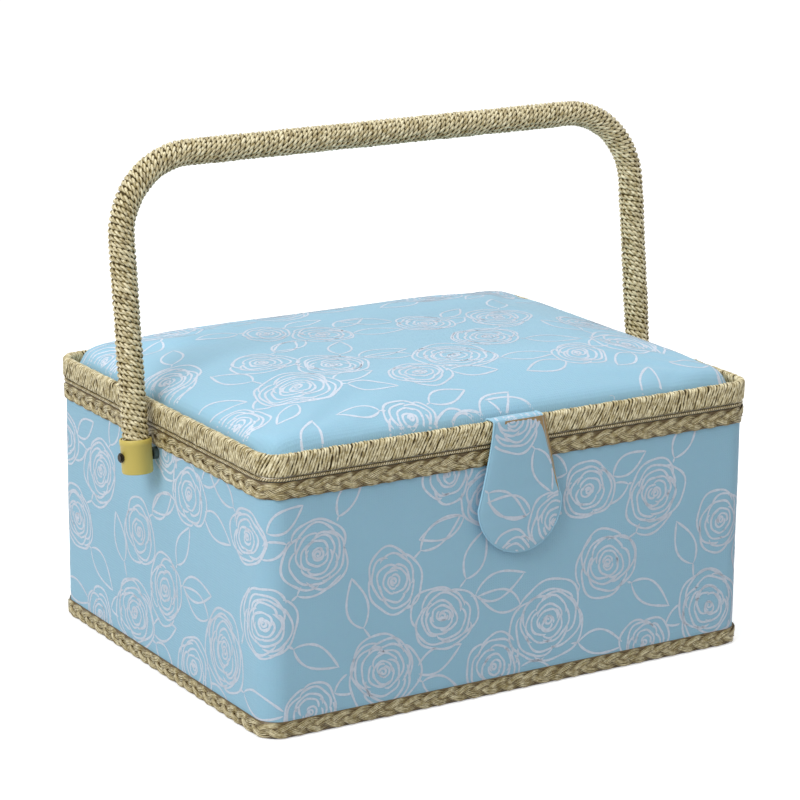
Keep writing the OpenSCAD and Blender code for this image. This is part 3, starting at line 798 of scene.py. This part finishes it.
class SEWING_OT_closing_tab(bpy.types.Operator):
    """The padded tab that folds over the rim and hangs down the front"""
    bl_idname = "sewing.closing_tab"
    bl_label = "Closing Tab"

    TOP_HALF = 14.9 * MM
    END_R = 26.2 * MM
    THICK = 2.6 * MM
    AROUND = 36

    def sway(self, s, end):
        """The tab hangs a little askew: its fold lies left of the middle."""
        return (-4.4 + 3.8 * np.clip(s / end, 0, 1) ** 0.8) * MM

    def half_width(self, s, hang, end):
        """Half the tab's width: parallel over the rim, widening below it, round at the end."""
        centre = end - self.END_R
        fall = (s - hang) / (centre - hang)
        side = self.TOP_HALF + (self.END_R * 0.985 - self.TOP_HALF) * np.clip(fall, 0, 1) ** 1.25
        below = np.clip((s - centre) / self.END_R, 0, 1)
        return np.where(s > centre, self.END_R * np.sqrt(1 - below ** 2) * 0.985, side)

    def execute(self, context):
        cloth = context.scene.sewing_cloth
        ink = context.scene.sewing_print
        hang = tab_route(np.array([0.0]))[4]
        hang_z = float(tab_route(np.array([hang]))[1][0])
        end = hang + hang_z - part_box("tab_cover")[0].z - 0.3 * MM
        centre = end - self.END_R
        s = np.concatenate([np.linspace(0, hang, 14, endpoint=False),
                            np.linspace(hang, centre, 26, endpoint=False),
                            centre + self.END_R * np.sin(np.linspace(0, math.pi / 2, 22)) * 0.9995])
        half = np.maximum(self.half_width(s, hang, end), 0.4 * MM)
        around = self.AROUND
        angle = 2 * math.pi * np.arange(around) / around
        y, z, ny, nz, _ = tab_route(s)
        across = np.sign(np.cos(angle)) * np.abs(np.cos(angle)) ** 0.75
        depth = np.sign(np.sin(angle)) * np.abs(np.sin(angle)) ** 0.6
        thick = self.THICK / 2 * np.clip((end - s) / (6 * MM), 0.25, 1) ** 0.4
        thick = thick * np.where(s < hang, 0.5, 0.5 + 0.5 * np.clip((s - hang) / (12 * MM), 0, 1))
        puff = 1 + 0.12 * wobble(s, 21, 0.06)
        x = half[:, None] * across[None, :] + self.sway(s, end)[:, None]
        push = (thick * puff)[:, None] * depth[None, :]
        points = np.stack([x, y[:, None] + ny[:, None] * push, z[:, None] + nz[:, None] * push], -1)
        faces = []
        rows = len(s)
        for i in range(rows - 1):
            for j in range(around):
                n = (j + 1) % around
                faces.append([i * around + j, (i + 1) * around + j, (i + 1) * around + n, i * around + n])
        faces.append(list(range(around)))
        faces.append([(rows - 1) * around + j for j in range(around)][::-1])
        material = cotton("Dyed cotton, tab", cloth.ground, cloth.thread, "Object", 9)
        tab = make_piece("closing_tab", points.reshape(-1, 3), faces, material, None)
        select_only(tab)
        bpy.ops.object.mode_set(mode="EDIT")
        bpy.ops.mesh.select_all(action="SELECT")
        bpy.ops.mesh.normals_make_consistent(inside=False)
        bpy.ops.object.mode_set(mode="OBJECT")
        tree = BVHTree.FromObject(tab, context.evaluated_depsgraph_get())

        def on_tab(flat):
            along = flat[:, 1] * MM
            ry, rz, rny, rnz, _ = tab_route(along)
            limit = self.half_width(along, hang, end) - 0.5 * MM
            middle = self.sway(along, end)
            points = np.zeros((len(flat), 3))
            good = np.zeros(len(flat), dtype=bool)
            for i in range(len(flat)):
                way = Vector((0, rny[i], rnz[i]))
                start = Vector((flat[i, 0] * MM, ry[i], rz[i])) + way * 0.02
                hit, normal, _, _ = tree.ray_cast(start, -way)
                inside = abs(flat[i, 0] * MM - middle[i]) < limit[i]
                if hit is not None and inside and normal.dot(way) > 0.2:
                    points[i] = hit + normal * ink.lift
                    good[i] = True
            return points, good

        limit = np.array([self.END_R / MM, end / MM])
        lines = print_lines(np.array([-limit[0], 3.0]), limit, (-64.0, -52.0), ink.seed + 9)
        points, faces, uv = ribbons(lines, ink.line, on_tab)
        inked = ink_on_cotton("Printed pigment, tab", cloth.ink, cloth.thread)
        drawn = make_piece("tab_print", points, [f[::-1] for f in faces], inked, None, uv=uv)
        drop_loose(drawn)

        # A fine turned edge runs round the tab
        both = np.concatenate([s, s[::-1]])
        sides = np.concatenate([np.ones(rows), -np.ones(rows)])
        edge_half = np.concatenate([half, half[::-1]])
        ey, ez, eny, enz, _ = tab_route(both)
        ex = sides * edge_half + self.sway(both, end)
        centres = np.stack([ex, ey, ez], -1)
        normals = np.stack([np.zeros(len(both)), eny, enz], -1)
        chunk = strand(centres, normals, 0.8 * MM, 1.3 * MM, 8)
        # Painted highlight: the hem's cotton is 12 percent lighter than the ground, for the light that catches the
        # turned edge
        hem = make_piece("tab_hem", *chunk[:2], cotton("Cotton hem, lightened as painted highlight", shade(cloth.ground, 1.12)[:3],
                                                       cloth.thread, "Object", 5), None)
        for piece in (tab, drawn, hem):
            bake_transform(piece)
        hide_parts("tab_cover", "tab_fold")
        return {"FINISHED"}


# Twine

def handle_route(s):
    """Points, outward directions and sideways directions of the handle at distances from its left cap."""
    base = CAP_H / 2 - 3 * MM
    leg = HANDLE_LEN - BEND_R - base
    arc = BEND_R * math.pi / 2
    grip = 2 * (LEG_X - BEND_R)
    breaks = np.cumsum([0, leg, arc, grip, arc, leg])
    inner = LEG_X - BEND_R
    top = HANDLE_LEN - BEND_R
    x = np.interp(s, breaks, [-inner, -inner, -inner, inner, inner, inner])
    h = np.interp(s, breaks, [base, top, top, top, top, base])
    turn = np.interp(s, breaks, [math.pi, math.pi, math.pi / 2, math.pi / 2, 0, 0])
    out_x, out_h = np.cos(turn), np.sin(turn)
    x = x + BEND_R * out_x
    h = h + BEND_R * out_h
    c, sn = math.cos(HANDLE_LEAN), math.sin(HANDLE_LEAN)
    points = np.stack([x, h * sn, PIVOT_Z + h * c], -1)
    outward = np.stack([out_x, out_h * sn, out_h * c], -1)
    sideways = np.broadcast_to(np.array([0, c, -sn]), points.shape)
    return points, outward, sideways, breaks


class SEWING_OT_handle_winding(bpy.types.Operator):
    """Two-ply twine wound tightly along the handle"""
    bl_idname = "sewing.handle_winding"
    bl_label = "Handle Winding"

    # A ply's thickness as a share of the pitch; its reach and its width as shares of its thickness
    PLY_T = 0.57
    PLY_REACH = 0.48
    PLY_W = 1.06
    TWISTS_PER_TURN = 6.3
    STEPS_PER_TURN = 44

    def execute(self, context):
        twine = context.scene.sewing_twine
        material = viscose_twine("Viscose twine, handle", twine, 0.35 * MM)
        breaks = handle_route(np.array([0.0]))[3]
        cuts = (0, (breaks[1] + breaks[2]) / 2, (breaks[3] + breaks[4]) / 2, breaks[-1])
        names = ("winding_left_leg", "winding_grip", "winding_right_leg")
        for name, start, stop in zip(names, cuts, cuts[1:]):
            made = [self.ply(twine.handle_pitch, start, stop, phase) for phase in (0, math.pi)]
            points, faces, uv = joined(made)
            piece = make_piece(name, points, faces, material, "handle", uv=uv)
            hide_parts("handle_twine")
        return {"FINISHED"}

    def ply(self, pitch, start, stop, phase):
        """One ply of the twine: it turns round its fellow as both turn round the tube."""
        thick = pitch * self.PLY_T
        count = int((stop - start) / pitch * self.STEPS_PER_TURN)
        s = np.linspace(start, stop, count)
        turn = 2 * math.pi * s / pitch + 0.4 * wobble(s, 31, 0.021)
        points, outward, sideways, _ = handle_route(s)
        tangent = np.cross(outward, sideways)
        way = np.cos(turn)[:, None] * outward + np.sin(turn)[:, None] * sideways
        twist = phase - turn * self.TWISTS_PER_TURN + 2.5 * wobble(s, 32, 0.035)
        seat = HANDLE_D / 2 - thick + 0.15 * MM * wobble(s, 33, 0.05)
        reach = seat + thick * self.PLY_REACH * np.cos(twist)
        # Each turn leans, so the rows slope across the handle
        lean = (2.0 + 0.6 * wobble(s, 35, 0.09)) * MM * np.cos(turn)
        drift = thick * self.PLY_REACH * np.sin(twist) - lean
        centres = points + way * reach[:, None] + tangent * drift[:, None]
        width = thick * self.PLY_W * (1 + 0.1 * wobble(s, 34 + int(phase), 0.013))
        shown = 1 - 0.25 * np.clip(wobble(turn, 36 + int(phase), 9.0, waves=7), 0, 1)
        return strand(centres, way, width, thick, 6, shown=shown)


class SEWING_OT_rim_winding(bpy.types.Operator):
    """Flat twine wound side by side round the lid's rim"""
    bl_idname = "sewing.rim_winding"
    bl_label = "Rim Winding"

    STEPS_PER_TURN = 28

    def execute(self, context):
        twine = context.scene.sewing_twine
        material = viscose_twine("Viscose twine, rim", twine, 0.4 * MM, 0.4)
        length = loop_breaks(RIM_HALF_W, RIM_HALF_D, RIM_CORNER_R)[-1]
        turns = round(length / twine.rim_pitch)
        thick = RIM_TWINE_T
        seat = thick / 2
        half_w = RIM_W / 2 - seat
        half_h = (RIM_HIGH.z - RIM_LOW.z) / 2 - seat
        r = RIM_SECTION_R - seat
        section = loop_breaks(half_w, half_h, r)[-1]
        t = np.arange(turns * self.STEPS_PER_TURN) / self.STEPS_PER_TURN
        out, up, n_out, n_up = loop_at(t % 1 * section, half_w, half_h, r)
        spacing = wobble(t, 41, 31.0, waves=9) * 0.45
        lean = 2.2 * MM * up / half_h * (0.9 + 0.6 * wobble(t, 43, 61.0))
        crimp = 0.16 * wobble(t, 45, 0.37, waves=3)
        along = (t + spacing + crimp) * length / turns + lean
        swell = 0.2 * MM * wobble(t, 42, 9.0, waves=7) - 0.1 * MM
        x, y, nx, ny = loop_at(along, RIM_HALF_W, RIM_HALF_D, RIM_CORNER_R,
                               offset=-RIM_W / 2 + out + n_out * swell)
        z = (RIM_LOW.z + RIM_HIGH.z) / 2 + up + n_up * swell
        centres = np.stack([x, y, z], -1)
        outward = np.stack([nx * n_out, ny * n_out, n_up], -1)
        width = twine.rim_pitch * (0.98 + 0.1 * wobble(t, 44, 5.0, waves=6)
                                   + 0.14 * wobble(t, 46, 0.29, waves=3))
        shown = 1 - 0.4 * np.clip(wobble(t, 47, 0.53, waves=3) - 0.2, 0, 1)
        points, faces, uv = strand(centres, outward, width, thick, 5, closed=True, shown=shown)
        piece = make_piece("rim_winding", points, faces, material, "lid", uv=uv)
        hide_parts("rim_twine")
        return {"FINISHED"}


class SEWING_OT_braids(bpy.types.Operator):
    """The two flat braids glued round the walls: three plaited bunches of fine twine each"""
    bl_idname = "sewing.braids"
    bl_label = "Braids"

    BUNCHES = 3
    CORDS = 5
    CORD_W = 0.8 * MM
    CORD_T = 0.85 * MM
    CORD_SPACING = 0.78 * MM
    STEPS_PER_PLAIT = 26
    # Room between a bunch's middle and the braid's edge, and between a cord's middle and that edge
    BUNCH_ROOM = 1.75 * MM
    CORD_ROOM = 0.4 * MM
    TAPE_T = 0.7 * MM
    TAPE_STEPS = 500

    def execute(self, context):
        twine = context.scene.sewing_twine
        material = viscose_twine("Viscose twine, braids", twine, 0.3 * MM, 0.42)
        for name, node, phase in (("upper_plait", "upper_braid", 0.0), ("lower_plait", "lower_braid", 2.0)):
            low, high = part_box(node)
            top = WALL_HIGH + 0.1 * MM if node == "upper_braid" else high.z
            chunks = [self.backing(low.z, top)]
            for bunch in range(self.BUNCHES):
                for cord in range(self.CORDS):
                    chunks.append(self.cord(twine.plait, low.z, top, bunch, cord, phase))
            points, faces, uv = joined(chunks)
            piece = make_piece(name, points, faces, material, "box", uv=uv)
            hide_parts(node)
        return {"FINISHED"}

    def backing(self, low, high):
        """The thin tape behind the plait, painted all in the deep colour as painted shade."""
        length = loop_breaks(HALF_W, HALF_D, CORNER_R)[-1]
        u = np.linspace(0, length, self.TAPE_STEPS, endpoint=False)
        x, y, nx, ny = loop_at(u, HALF_W, HALF_D, CORNER_R, offset=self.TAPE_T / 2)
        centres = np.stack([x, y, np.full_like(x, (low + high) / 2)], -1)
        points, faces, uv = strand(centres, level(nx, ny), (high - low) * 1.06, self.TAPE_T, 8, closed=True,
                                   turn=math.pi / 8)
        # Painted shade: U is set to 0, so the tape is painted all in the deep colour
        return points, faces, uv * (0, 1)

    def cord(self, plait, low, high, bunch, cord, phase):
        """One fine cord of a bunch that weaves from edge to edge."""
        length = loop_breaks(HALF_W, HALF_D, CORNER_R)[-1]
        repeats = round(length / plait)
        u = np.linspace(0, length, repeats * self.STEPS_PER_PLAIT, endpoint=False)
        seed = 50 + bunch * self.CORDS + cord + int(phase)
        turn = 2 * math.pi * repeats * u / length + bunch * 2 * math.pi / self.BUNCHES + phase
        turn = turn + 0.22 * wobble(u, 49 + bunch + int(phase), 0.13)
        place = (cord - self.CORDS // 2) * self.CORD_SPACING * (1 + 0.15 * wobble(u, 70 + bunch, 0.04))
        swing = (high - low) / 2 - self.BUNCH_ROOM
        slope = swing * np.cos(turn) * 2 * math.pi * repeats / length
        lean = np.arctan(slope)
        along = u - place * np.sin(lean)
        up = swing * np.sin(turn) + place * np.cos(lean)
        edge = (high - low) / 2 - self.CORD_ROOM
        up = np.clip(up + 0.16 * MM * wobble(u, seed, 0.031), -edge, edge)
        out = 0.85 * MM + 0.5 * MM * np.sin(2 * turn) + 0.12 * MM * wobble(u, seed + 20, 0.013)
        # Painted shade: darker along the edges of a bunch and where it dips under another
        shown = 1 - (0.22 if cord in (0, self.CORDS - 1) else 0) - 0.3 * np.clip(-np.sin(2 * turn), 0, 1)
        shown = shown - 0.2 * np.clip(wobble(u, seed + 40, 0.019), 0, 1)
        x, y, nx, ny = loop_at(along, HALF_W, HALF_D, CORNER_R, offset=out)
        centres = np.stack([x, y, (low + high) / 2 + up], -1)
        return strand(centres, level(nx, ny), self.CORD_W, self.CORD_T, 5, closed=True, shown=shown)


class SEWING_OT_piping(bpy.types.Operator):
    """The thin two-ply cord under the rim"""
    bl_idname = "sewing.piping"
    bl_label = "Piping"

    # Shares of the piping's diameter: its core and each ply; and a ply's reach as a share of the ply
    CORE = 0.84
    PLY = 0.56
    PLY_REACH = 0.42
    TWIST_LENGTH = 2.8 * MM
    STEPS_PER_TWIST = 7

    def execute(self, context):
        twine = context.scene.sewing_twine
        material = viscose_twine("Viscose twine, piping", twine, 0.3 * MM, 0.36)
        low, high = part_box("rim_piping")
        middle = (low.z + high.z) / 2 - 0.15 * MM
        out = high.x - HALF_W - PIPING_D / 2
        length = loop_breaks(HALF_W, HALF_D, CORNER_R)[-1]
        twists = round(length / self.TWIST_LENGTH)
        u = np.linspace(0, length, twists * self.STEPS_PER_TWIST, endpoint=False)
        ply = PIPING_D * self.PLY
        reach = ply * self.PLY_REACH
        core_d = PIPING_D * self.CORE
        x, y, nx, ny = loop_at(u[::4], HALF_W, HALF_D, CORNER_R, offset=out)
        core = np.stack([x, y, np.full_like(x, middle)], -1)
        # Painted shade: the core's U stays below where the deep colour gives way, so the core between the plies is
        # painted all in the deep colour
        chunks = [strand(core, level(nx, ny), core_d, core_d, 8, closed=True, shown=0.3)]
        for phase in (0, math.pi):
            turn = 2 * math.pi * twists * u / length + phase
            x, y, nx, ny = loop_at(u, HALF_W, HALF_D, CORNER_R, offset=out + reach * np.cos(turn))
            centres = np.stack([x, y, middle + reach * np.sin(turn)], -1)
            chunks.append(strand(centres, level(nx, ny), ply, ply, 5, closed=True))
        points, faces, uv = joined(chunks)
        piece = make_piece("piping_cord", points, faces, material, "lid", uv=uv)
        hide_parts("rim_piping")
        return {"FINISHED"}


# Fittings and lining

def give_finish(node, finish):
    """Puts one finish on a CAD node that is shown as it is."""
    data = frame["nodes"][node].data
    data.materials.clear()
    data.materials.append(finish)


class SEWING_OT_caps(bpy.types.Operator):
    """The two moulded caps at the ends of the handle"""
    bl_idname = "sewing.caps"
    bl_label = "Caps"

    LIP_T = 0.3 * MM
    SOCKET_GAP = 0.15 * MM
    SOCKET_DEPTH = 4 * MM
    SPIN_STEPS = 48

    def execute(self, context):
        fittings = context.scene.sewing_fittings
        material = moulded_plastic("Moulded polypropylene, caps", fittings.cap, 0.48)
        lean = Matrix.Rotation(-HANDLE_LEAN, 4, "X")
        for side, name, node in ((-1, "cap_left", "left_cap"), (1, "cap_right", "right_cap")):
            piece = self.cap(name)
            place = Matrix.Translation((side * LEG_X, 0, PIVOT_Z)) @ lean
            piece.data.transform(place)
            piece.data.materials.append(material)
            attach(piece, "handle")
            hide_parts(node)
        return {"FINISHED"}

    def cap(self, name):
        """A cap about its pivot: turned from its profile, with a lip, a socket and a soft lower edge."""
        r = CAP_R - self.LIP_T
        socket = HANDLE_D / 2 + self.SOCKET_GAP
        half = CAP_H / 2
        floor = half - self.SOCKET_DEPTH
        profile = [(0, -half), (r - 1.2 * MM, -half), (r - 0.35 * MM, -half + 0.35 * MM),
                   (r, -half + 1.2 * MM), (r, half - 3.2 * MM), (CAP_R, half - 2.8 * MM),
                   (CAP_R, half - 0.5 * MM), (CAP_R - 0.4 * MM, half), (socket + 0.3 * MM, half),
                   (socket, half - 0.3 * MM), (socket, floor), (0, floor)]
        mesh = bpy.data.meshes.new(name)
        work = bmesh.new()
        row = [work.verts.new((x, 0, z)) for x, z in profile]
        edges = [work.edges.new(pair) for pair in zip(row, row[1:])]
        bmesh.ops.spin(work, geom=row + edges, cent=(0, 0, 0), axis=(0, 0, 1), angle=2 * math.pi,
                       steps=self.SPIN_STEPS, use_merge=True, use_duplicate=False)
        bmesh.ops.remove_doubles(work, verts=work.verts, dist=1e-7)
        bmesh.ops.recalc_face_normals(work, faces=work.faces)
        work.to_mesh(mesh)
        work.free()
        mesh.polygons.foreach_set("use_smooth", [True] * len(mesh.polygons))
        piece = link_object(name, mesh)
        select_only(piece)
        bpy.ops.object.shade_smooth_by_angle(angle=math.radians(40))
        return piece


class SEWING_OT_linings(bpy.types.Operator):
    """Padded satin panels on the floor and under the lid"""
    bl_idname = "sewing.linings"
    bl_label = "Linings"

    PAD_CORNER_R = 7 * MM
    DIAMOND = 36 * MM
    COLUMNS = 120
    ROWS = 92

    def execute(self, context):
        cloth = context.scene.sewing_cloth
        material = satin("Polyester satin, panels", cloth.satin)
        for name, node, body, face in (("floor_quilt", "floor_pad", "box", 1),
                                       ("lid_quilt", "lid_lining", "lid", -1)):
            low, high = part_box(node)
            piece = self.panel(name, low, high, face, material, body)
            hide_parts(node)
        return {"FINISHED"}

    def panel(self, name, low, high, face, material, body):
        """A thin pad whose one face is quilted in diamonds."""
        hw, hd = high.x - 0.2 * MM, high.y - 0.2 * MM
        r = self.PAD_CORNER_R
        deep = high.z - low.z
        columns, rows = self.COLUMNS, self.ROWS
        gx, gy = np.meshgrid(np.linspace(-1, 1, columns), np.linspace(-1, 1, rows))
        x, y = gx * hw, gy * hd
        corner_x, corner_y = np.maximum(np.abs(x) - (hw - r), 0), np.maximum(np.abs(y) - (hd - r), 0)
        reach = np.hypot(corner_x, corner_y)
        pull = np.where(reach > r, r / np.maximum(reach, 1e-9), 1)
        x = np.sign(x) * (np.minimum(np.abs(x), hw - r) + corner_x * pull)
        y = np.sign(y) * (np.minimum(np.abs(y), hd - r) + corner_y * pull)
        a = np.abs(np.sin(math.pi * (x + y) / self.DIAMOND))
        b = np.abs(np.sin(math.pi * (x - y) / self.DIAMOND))
        quilt = (a * b) ** 0.35
        margin = np.clip(np.minimum(hw - np.abs(x), hd - np.abs(y)) / r, 0, 1) ** 0.5
        height = deep * (0.35 + 0.6 * quilt * margin)
        flat_z = low.z if face > 0 else high.z
        upper = np.stack([x, y, flat_z + face * height], -1).reshape(-1, 3)
        lower = np.stack([x, y, np.full_like(x, flat_z)], -1).reshape(-1, 3)
        faces = []
        size = rows * columns
        for i in range(rows - 1):
            for j in range(columns - 1):
                a0 = i * columns + j
                quad = [a0, a0 + 1, a0 + columns + 1, a0 + columns]
                faces.append(quad if face > 0 else quad[::-1])
                back = [v + size for v in quad]
                faces.append(back[::-1] if face > 0 else back)
        border = ([j for j in range(columns)] + [i * columns + columns - 1 for i in range(1, rows)]
                  + [(rows - 1) * columns + j for j in range(columns - 2, -1, -1)]
                  + [i * columns for i in range(rows - 2, 0, -1)])
        for p, q in zip(border, border[1:] + border[:1]):
            quad = [p, p + size, q + size, q]
            faces.append(quad if face > 0 else quad[::-1])
        return make_piece(name, np.concatenate([upper, lower]), faces, material, body)


class SEWING_OT_fittings(bpy.types.Operator):
    """Finishes of the pieces whose shape comes straight from the construction"""
    bl_idname = "sewing.fittings"
    bl_label = "Fittings"

    def execute(self, context):
        cloth = context.scene.sewing_cloth
        fittings = context.scene.sewing_fittings
        finishes = {
            "board": chipboard("Chipboard", linear("#A98F66")),
            "satin": satin("Polyester satin, walls", cloth.satin),
            "wood": grained_wood("Planed pine", linear("#D8BE8E")),
            "brass": plated_metal("Brass-plated steel", fittings.brass, 0.34),
            # Partly painted shade: the spacers beside the caps are real parts, but their dark slate green stands
            # for the shade there
            "dark_plastic": moulded_plastic("Moulded nylon, dark as painted shade", linear("#41524F"), 0.6),
            "steel": plated_metal("Zinc-plated steel", linear("#B8BCC0"), 0.4),
            "white_plastic": moulded_plastic("Moulded polypropylene, tray", fittings.tray, 0.42),
            "base_cloth": cotton("Woven base cloth", linear("#3E4A57"), cloth.thread, "Object", 1),
            "print_cotton": cotton("Dyed cotton, plain", cloth.ground, cloth.thread, "Object", 2),
            "padding": chipboard("Foam", linear("#EFEBDD")),
            "twine": chipboard("Twine core", linear("#5E5128")),
            "yellow_plastic": moulded_plastic("Moulded polypropylene", fittings.cap, 0.48),
        }
        for entry in frame["record"]["subparts"]:
            give_finish(entry["node"], finishes[entry["material_slot"]])
        # Partly painted shade: the screw heads are given one near-black colour, which stands for the shade on
        # their unlit side
        dark = plated_metal("Dark steel, painted shade", linear("#3A342C"), 0.45)
        # Partly painted shade: the cores are seen only through the gaps between turns, and their dark brown stands
        # for the shade there
        core = chipboard("Dark core under the windings, painted shade", linear("#4E401C"))
        for node, finish in (("pivot_screws", dark), ("handle_tube", core), ("rim_frame", core)):
            give_finish(node, finish)
        return {"FINISHED"}


# Stage

class SEWING_OT_stage(bpy.types.Operator):
    """White floor, soft lamps and the camera"""
    bl_idname = "sewing.stage"
    bl_label = "Stage"

    def execute(self, context):
        scene = context.scene
        stage = scene.sewing_stage
        scene.view_settings.view_transform = "Standard"
        self.camera(scene, stage)
        self.floor()
        self.world(scene)
        self.lamp("Key lamp", (-1.8, -0.65, 1.5), 1.1, 26)
        self.lamp("Top lamp", (0.0, 0.3, 2.2), 1.6, 15)
        return {"FINISHED"}

    def camera(self, scene, stage):
        a, e = stage.azimuth, stage.elevation
        back = Vector((math.sin(a) * math.cos(e), -math.cos(a) * math.cos(e), math.sin(e)))
        right = Vector((math.cos(a), math.sin(a), 0))
        up = back.cross(right)
        c, s = math.cos(stage.roll), math.sin(stage.roll)
        tilted_right, tilted_up = right * c + up * s, up * c - right * s
        data = bpy.data.cameras.new("Camera")
        data.lens = stage.lens
        data.sensor_width = 36
        camera = link_object("Camera", data)
        turn = Matrix((tilted_right, tilted_up, back)).transposed()
        place = Vector((0, 0, stage.target_height)) + back * stage.distance
        camera.matrix_world = Matrix.Translation(place) @ turn.to_4x4()
        scene.camera = camera

    def seen(self, tree):
        """One where a camera, mirror or glass ray asks, else nothing."""
        path = add(tree, "ShaderNodeLightPath")
        first = add(tree, "ShaderNodeMath", {0: path.outputs["Is Camera Ray"],
                                             1: path.outputs["Is Glossy Ray"]}, operation="MAXIMUM")
        return add(tree, "ShaderNodeMath", {0: first.outputs[0],
                                            1: path.outputs["Is Transmission Ray"]}, operation="MAXIMUM")

    def floor(self):
        material = bpy.data.materials.new("White paper sweep")
        material.use_nodes = True
        tree = material.node_tree
        tree.nodes.clear()
        paper = add(tree, "ShaderNodeBsdfDiffuse", {"Color": (0.8, 0.8, 0.8, 1)})
        dull = add(tree, "ShaderNodeBsdfDiffuse", {"Color": (0.45, 0.45, 0.45, 1)})
        lit = add(tree, "ShaderNodeEmission", {"Color": (1, 1, 1, 1), "Strength": 0.5})
        both = add(tree, "ShaderNodeAddShader", {0: paper.outputs[0], 1: lit.outputs[0]})
        mix = add(tree, "ShaderNodeMixShader", {0: self.seen(tree).outputs[0], 1: dull.outputs[0],
                                                2: both.outputs[0]})
        add(tree, "ShaderNodeOutputMaterial", {0: mix.outputs[0]})
        bpy.ops.mesh.primitive_plane_add(size=30, location=(0, 0, -0.2 * MM))
        floor = bpy.context.object
        floor.name = "floor"
        floor.data.materials.append(material)

    def world(self, scene):
        world = bpy.data.worlds.new("Studio")
        world.use_nodes = True
        scene.world = world
        tree = world.node_tree
        tree.nodes.clear()
        soft = add(tree, "ShaderNodeBackground", {"Color": (1, 1, 1, 1), "Strength": 0.63})
        white = add(tree, "ShaderNodeBackground", {"Color": (1, 1, 1, 1), "Strength": 1.0})
        mix = add(tree, "ShaderNodeMixShader", {0: self.seen(tree).outputs[0], 1: soft.outputs[0],
                                                2: white.outputs[0]})
        add(tree, "ShaderNodeOutputWorld", {0: mix.outputs[0]})

    def lamp(self, name, place, size, power):
        data = bpy.data.lights.new(name, "AREA")
        data.size = size
        data.energy = power
        lamp = link_object(name, data)
        lamp.location = place
        lamp.rotation_euler = (Vector((0, 0, 0.1)) - Vector(place)).to_track_quat("-Z", "Y").to_euler()


class SEWING_PT_panel(bpy.types.Panel):
    """Sidebar panel that lists the pieces and their settings"""
    bl_idname = "SEWING_PT_panel"
    bl_label = "Sewing Carrier"
    bl_space_type = "VIEW_3D"
    bl_region_type = "UI"
    bl_category = "Sewing"

    def draw(self, context):
        layout = self.layout
        for attribute, kind in SETTINGS.items():
            box = layout.box()
            for name in kind.__annotations__:
                box.prop(getattr(context.scene, attribute), name)
        for operator in OPERATORS:
            layout.operator(operator.bl_idname)


SETTINGS = {
    "sewing_cloth": ClothSettings,
    "sewing_print": PrintSettings,
    "sewing_twine": TwineSettings,
    "sewing_fittings": FittingSettings,
    "sewing_stage": StageSettings,
}
OPERATORS = (
    SEWING_OT_stage,
    SEWING_OT_fittings,
    SEWING_OT_wall_cloth,
    SEWING_OT_lid_cushion,
    SEWING_OT_closing_tab,
    SEWING_OT_handle_winding,
    SEWING_OT_rim_winding,
    SEWING_OT_braids,
    SEWING_OT_piping,
    SEWING_OT_caps,
    SEWING_OT_linings,
)


def register():
    for kind in (*SETTINGS.values(), *OPERATORS, SEWING_PT_panel):
        bpy.utils.register_class(kind)
    for attribute, kind in SETTINGS.items():
        setattr(bpy.types.Scene, attribute, PointerProperty(type=kind))


def unregister():
    for attribute in SETTINGS:
        delattr(bpy.types.Scene, attribute)
    for kind in (SEWING_PT_panel, *reversed(OPERATORS), *reversed(list(SETTINGS.values()))):
        bpy.utils.unregister_class(kind)


def main():
    register()
    for operator in OPERATORS:
        group, name = operator.bl_idname.split(".")
        getattr(getattr(bpy.ops, group), name)()


if __name__ == "__main__":
    main()
